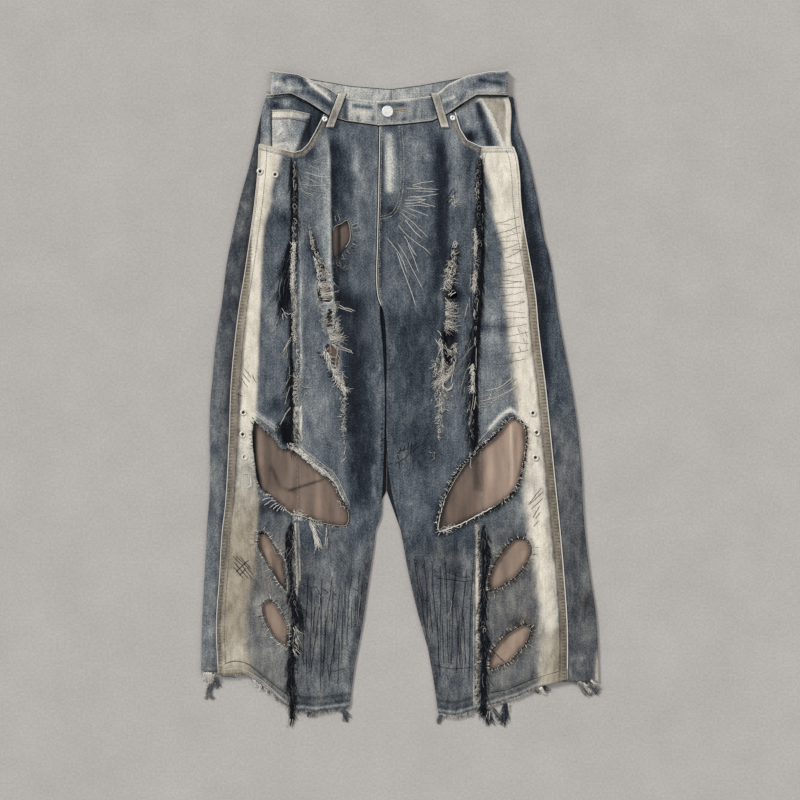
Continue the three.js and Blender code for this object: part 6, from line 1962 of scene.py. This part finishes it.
hem_shreds = {
    "hem_shred_back_left": [
        shred(-306, -432, -92, 16, 12, (WHITE, 0.06), 40), shred(-300, -434, -98, 20, 7, (CREAM, 0.1), 20),
        shred(-300, -450, -108, 24, 3, (SLATE, 0.1)), shred(-296, -446, -116, 20, 4, (SLATE, 0.1)),
        shred(-293, -440, -84, 18, 5, (SLATE, 0.12)), shred(-306, -466, -60, 14, 1.5, (TAUPE, 0.1), 8),
        shred(-306, -468, -110, 10, 1.5, (TAUPE, 0.1), 8),
        hem_strands([[-317, -431], [-290, -436]], 1.6, 8, (TAUPE, 0.2))],
    "hem_shred_inner_left": [
        hem_strands([[-166, -494], [-133, -497], [-83, -490]], 1.3, 6, (SLATE, 0.16), 16),
        hem_strands([[-150, -496], [-120, -497]], 1.0, 8, (TAUPE, 0.2), 16),
        shred(-92, -492, -70, 20, 7, (SLATE, 0.1), 26), shred(-146, -495, -94, 10, 3, (SLATE, 0.1)),
        shred(-138, -496, -92, 9, 3, (TAUPE, 0.1), 10)],
    "hem_shred_inner_right": [
        hem_strands([[64, -500], [88, -504], [114, -497]], 1.8, 7, (CREAM, 0.14), 22),
        shred(66, -500, -108, 16, 5, (SLATE, 0.1), 18),
        hem_strands([[64, -500], [114, -498]], 1.0, 9, (SLATE, 0.1), 18)],
    "hem_shred_back_right": [
        shred(282, -446, -48, 30, 7, (TAUPE, 0.1), 34), shred(296, -450, -42, 26, 5, (TAUPE - 0.08, 0.1), 24),
        shred(290, -450, -44, 20, 5, (WHITE, 0.06), 16), shred(302, -446, -40, 16, 3, (CREAM, 0.08), 12),
        shred(312, -452, -70, 12, 4, (TAUPE, 0.1), 14)],
}
for key, groups in hem_shreds.items():
    thread_piece(key, groups, nodes=(key,))
thread_piece("hem_fringe", [
    hem_strands([[-286, -439], [-247, -437], [-223, -454]], 1.4, 4, (TAUPE, 0.2)),
    hem_strands([[-236, -445], [-196, -475]], 0.36, 9, (WHITE, 0.06), 16, 0.62),
    hem_strands([[-236, -446], [-182, -488]], 0.7, 5, (SLATE, 0.14), 14),
    drawn([[[-288, -440], [-276, -441], [-261, -443]], [[-286, -436], [-274, -437]]], (BLACK, 0.06), 0.5, 12,
          0.2),
    drawn([[[-284, -424], [-272, -417], [-260, -416], [-242, -421], [-220, -440], [-180, -471]]], (NAVY, 0.08),
          0.6, 14, 0.1, 0.15),
    drawn([[[-284, -431], [-258, -427], [-238, -436], [-219, -449], [-203, -463], [-184, -481]]],
          (CREAM, 0.06),
          0.6, 16, 0.4, 0.1),
    drawn([[[144, -468], [170, -463], [214, -445], [256, -432]]], (NAVY, 0.08), 0.6, 14, 0.1, 0.15),
    hem_strands([[130, -492], [190, -473], [223, -457]], 1.6, 4, (CREAM, 0.14)),
    shred(138, -490, -80, 26, 9, (NAVY, 0.1), 36), shred(147, -488, -62, 22, 4, (SLATE, 0.1), 16),
    shred(144, -494, -110, 16, 6, (WHITE, 0.05), 12), shred(169, -480, -92, 30, 5, (NAVY, 0.1), 26),
    shred(172, -482, -84, 16, 2, (CREAM, 0.05), 6), shred(167, -498, -94, 20, 5, (NAVY, 0.12), 20),
    shred(222, -457, -48, 16, 5, (WHITE, 0.05), 18), shred(228, -454, -60, 14, 4, (NAVY, 0.1), 14),
    shred(214, -460, -50, 10, 3, (SLATE, 0.1), 10),
])

# %% [markdown]
# ## Metal
# The button, the rivets and the eyelets are pressed from sheet: each is a profile turned about its own axis.

# %% Turned metal
def turned(name, profile, material, sides, dark_rings, slot="button_metal"):
    """A closed turned piece: the profile [radius, height] goes round the node's own upright axis, from the
    axis out and back to it. The last rings may be painted dark as shade, as the inside of a barrel looks."""
    low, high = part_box(name)
    centre = np.array([(low.x + high.x) / 2, (low.y + high.y) / 2, low.z]) / MM
    p = np.array(profile, float)
    turn = np.arange(sides) * math.tau / sides
    ring = np.stack([np.cos(turn), np.sin(turn)], -1)
    points = np.concatenate([[[0, 0, p[0, 1]]],
                             *[np.column_stack([ring * r, np.full(sides, h)]) for r, h in p[1:-1]],
                             [[0, 0, p[-1, 1]]]]) + centre
    i = np.arange(sides)
    j = (i + 1) % sides
    faces = [[0, 1 + b, 1 + a] for a, b in zip(i, j)]
    for k in range(len(p) - 3):
        faces += [[1 + k * sides + a, 1 + k * sides + b, 1 + (k + 1) * sides + b, 1 + (k + 1) * sides + a]
                  for a, b in zip(i, j)]
    last = 1 + (len(p) - 3) * sides
    faces += [[last + a, last + b, last + sides] for a, b in zip(i, j)]
    made = mesh_piece(name, points, faces, material, {}, (name,))
    if dark_rings:
        made.data.materials.append(BARREL_SHADE)
        marks = np.zeros(len(faces), np.int32)
        marks[-sides * dark_rings:] = 1
        made.data.polygons.foreach_set("material_index", marks)
        made.data.update()
    return made


# Near black for the hollow middle of the eyelets and rivets: painted shade.
BARREL_SHADE = plated_metal("painted_shade_in_metal_hollows", "#16130f", "#080706", 0.0, 0.8)
BUTTON_PROFILE = [[0, 0], [7.2, 0], [8.6, 0.6], [9.1, 1.7], [8.9, 2.7], [8.2, 3.2], [7.4, 3.0], [6.4, 2.9],
                  [3.5, 3.3],
                  [0, 3.4]]
RIVET_PROFILE = [[0, 0], [4.0, 0], [4.3, 0.6], [3.9, 1.2], [3.0, 1.5], [2.0, 1.3], [1.3, 0.9], [1.1, 0.6],
                 [0, 0.5]]
EYELET_PROFILE = [[0, 0], [5.0, 0], [5.5, 0.5], [5.2, 1.1], [4.3, 1.6], [3.2, 1.4], [2.6, 0.9], [2.4, 0.3],
                  [0, 0.25]]


METAL = [turned("button", BUTTON_PROFILE, BUTTON_METAL, 64, 0)]
METAL += [turned(rivet, RIVET_PROFILE, BUTTON_METAL, 32, 1) for rivet in ("rivet_left", "rivet_right")]
METAL += [turned(f"eyelet_{k}", EYELET_PROFILE, EYELET_METAL, 32, 1, "eyelet_metal") for k in range(1, 9)]
print("metal pieces:", len(METAL))

# %% [markdown]
# ## What each piece is, for the record
# Every cloth piece says the size of the rectangle it was cut from, and its own flat area.

# %% Sheets, sizes and the end
CUTS = {  # the rectangle each piece is cut from, across and along, in millimetres
    "front_outer_left": (125, 910), "front_inner_left": (170, 980), "front_inner_right": (190, 990),
    "front_outer_right": (165, 910), "back_left": (420, 990), "back_right": (420, 1000),
    "pocket_facing_left": (112, 112), "pocket_facing_right": (112, 108), "coin_pocket": (64, 76),
    "waistband_left": (420, 40), "waistband_right": (440, 40),
}
for name, (piece, area) in {**FRONTS, **BACKS, **POCKETS, **BANDS}.items():
    declare(piece, area, *CUTS[name])
for piece, area, width, length in LININGS:
    declare(piece, area, width, length)
for piece, area in LOOPS:
    declare(piece, area, 2 * LOOP_HALF + 1, 60)
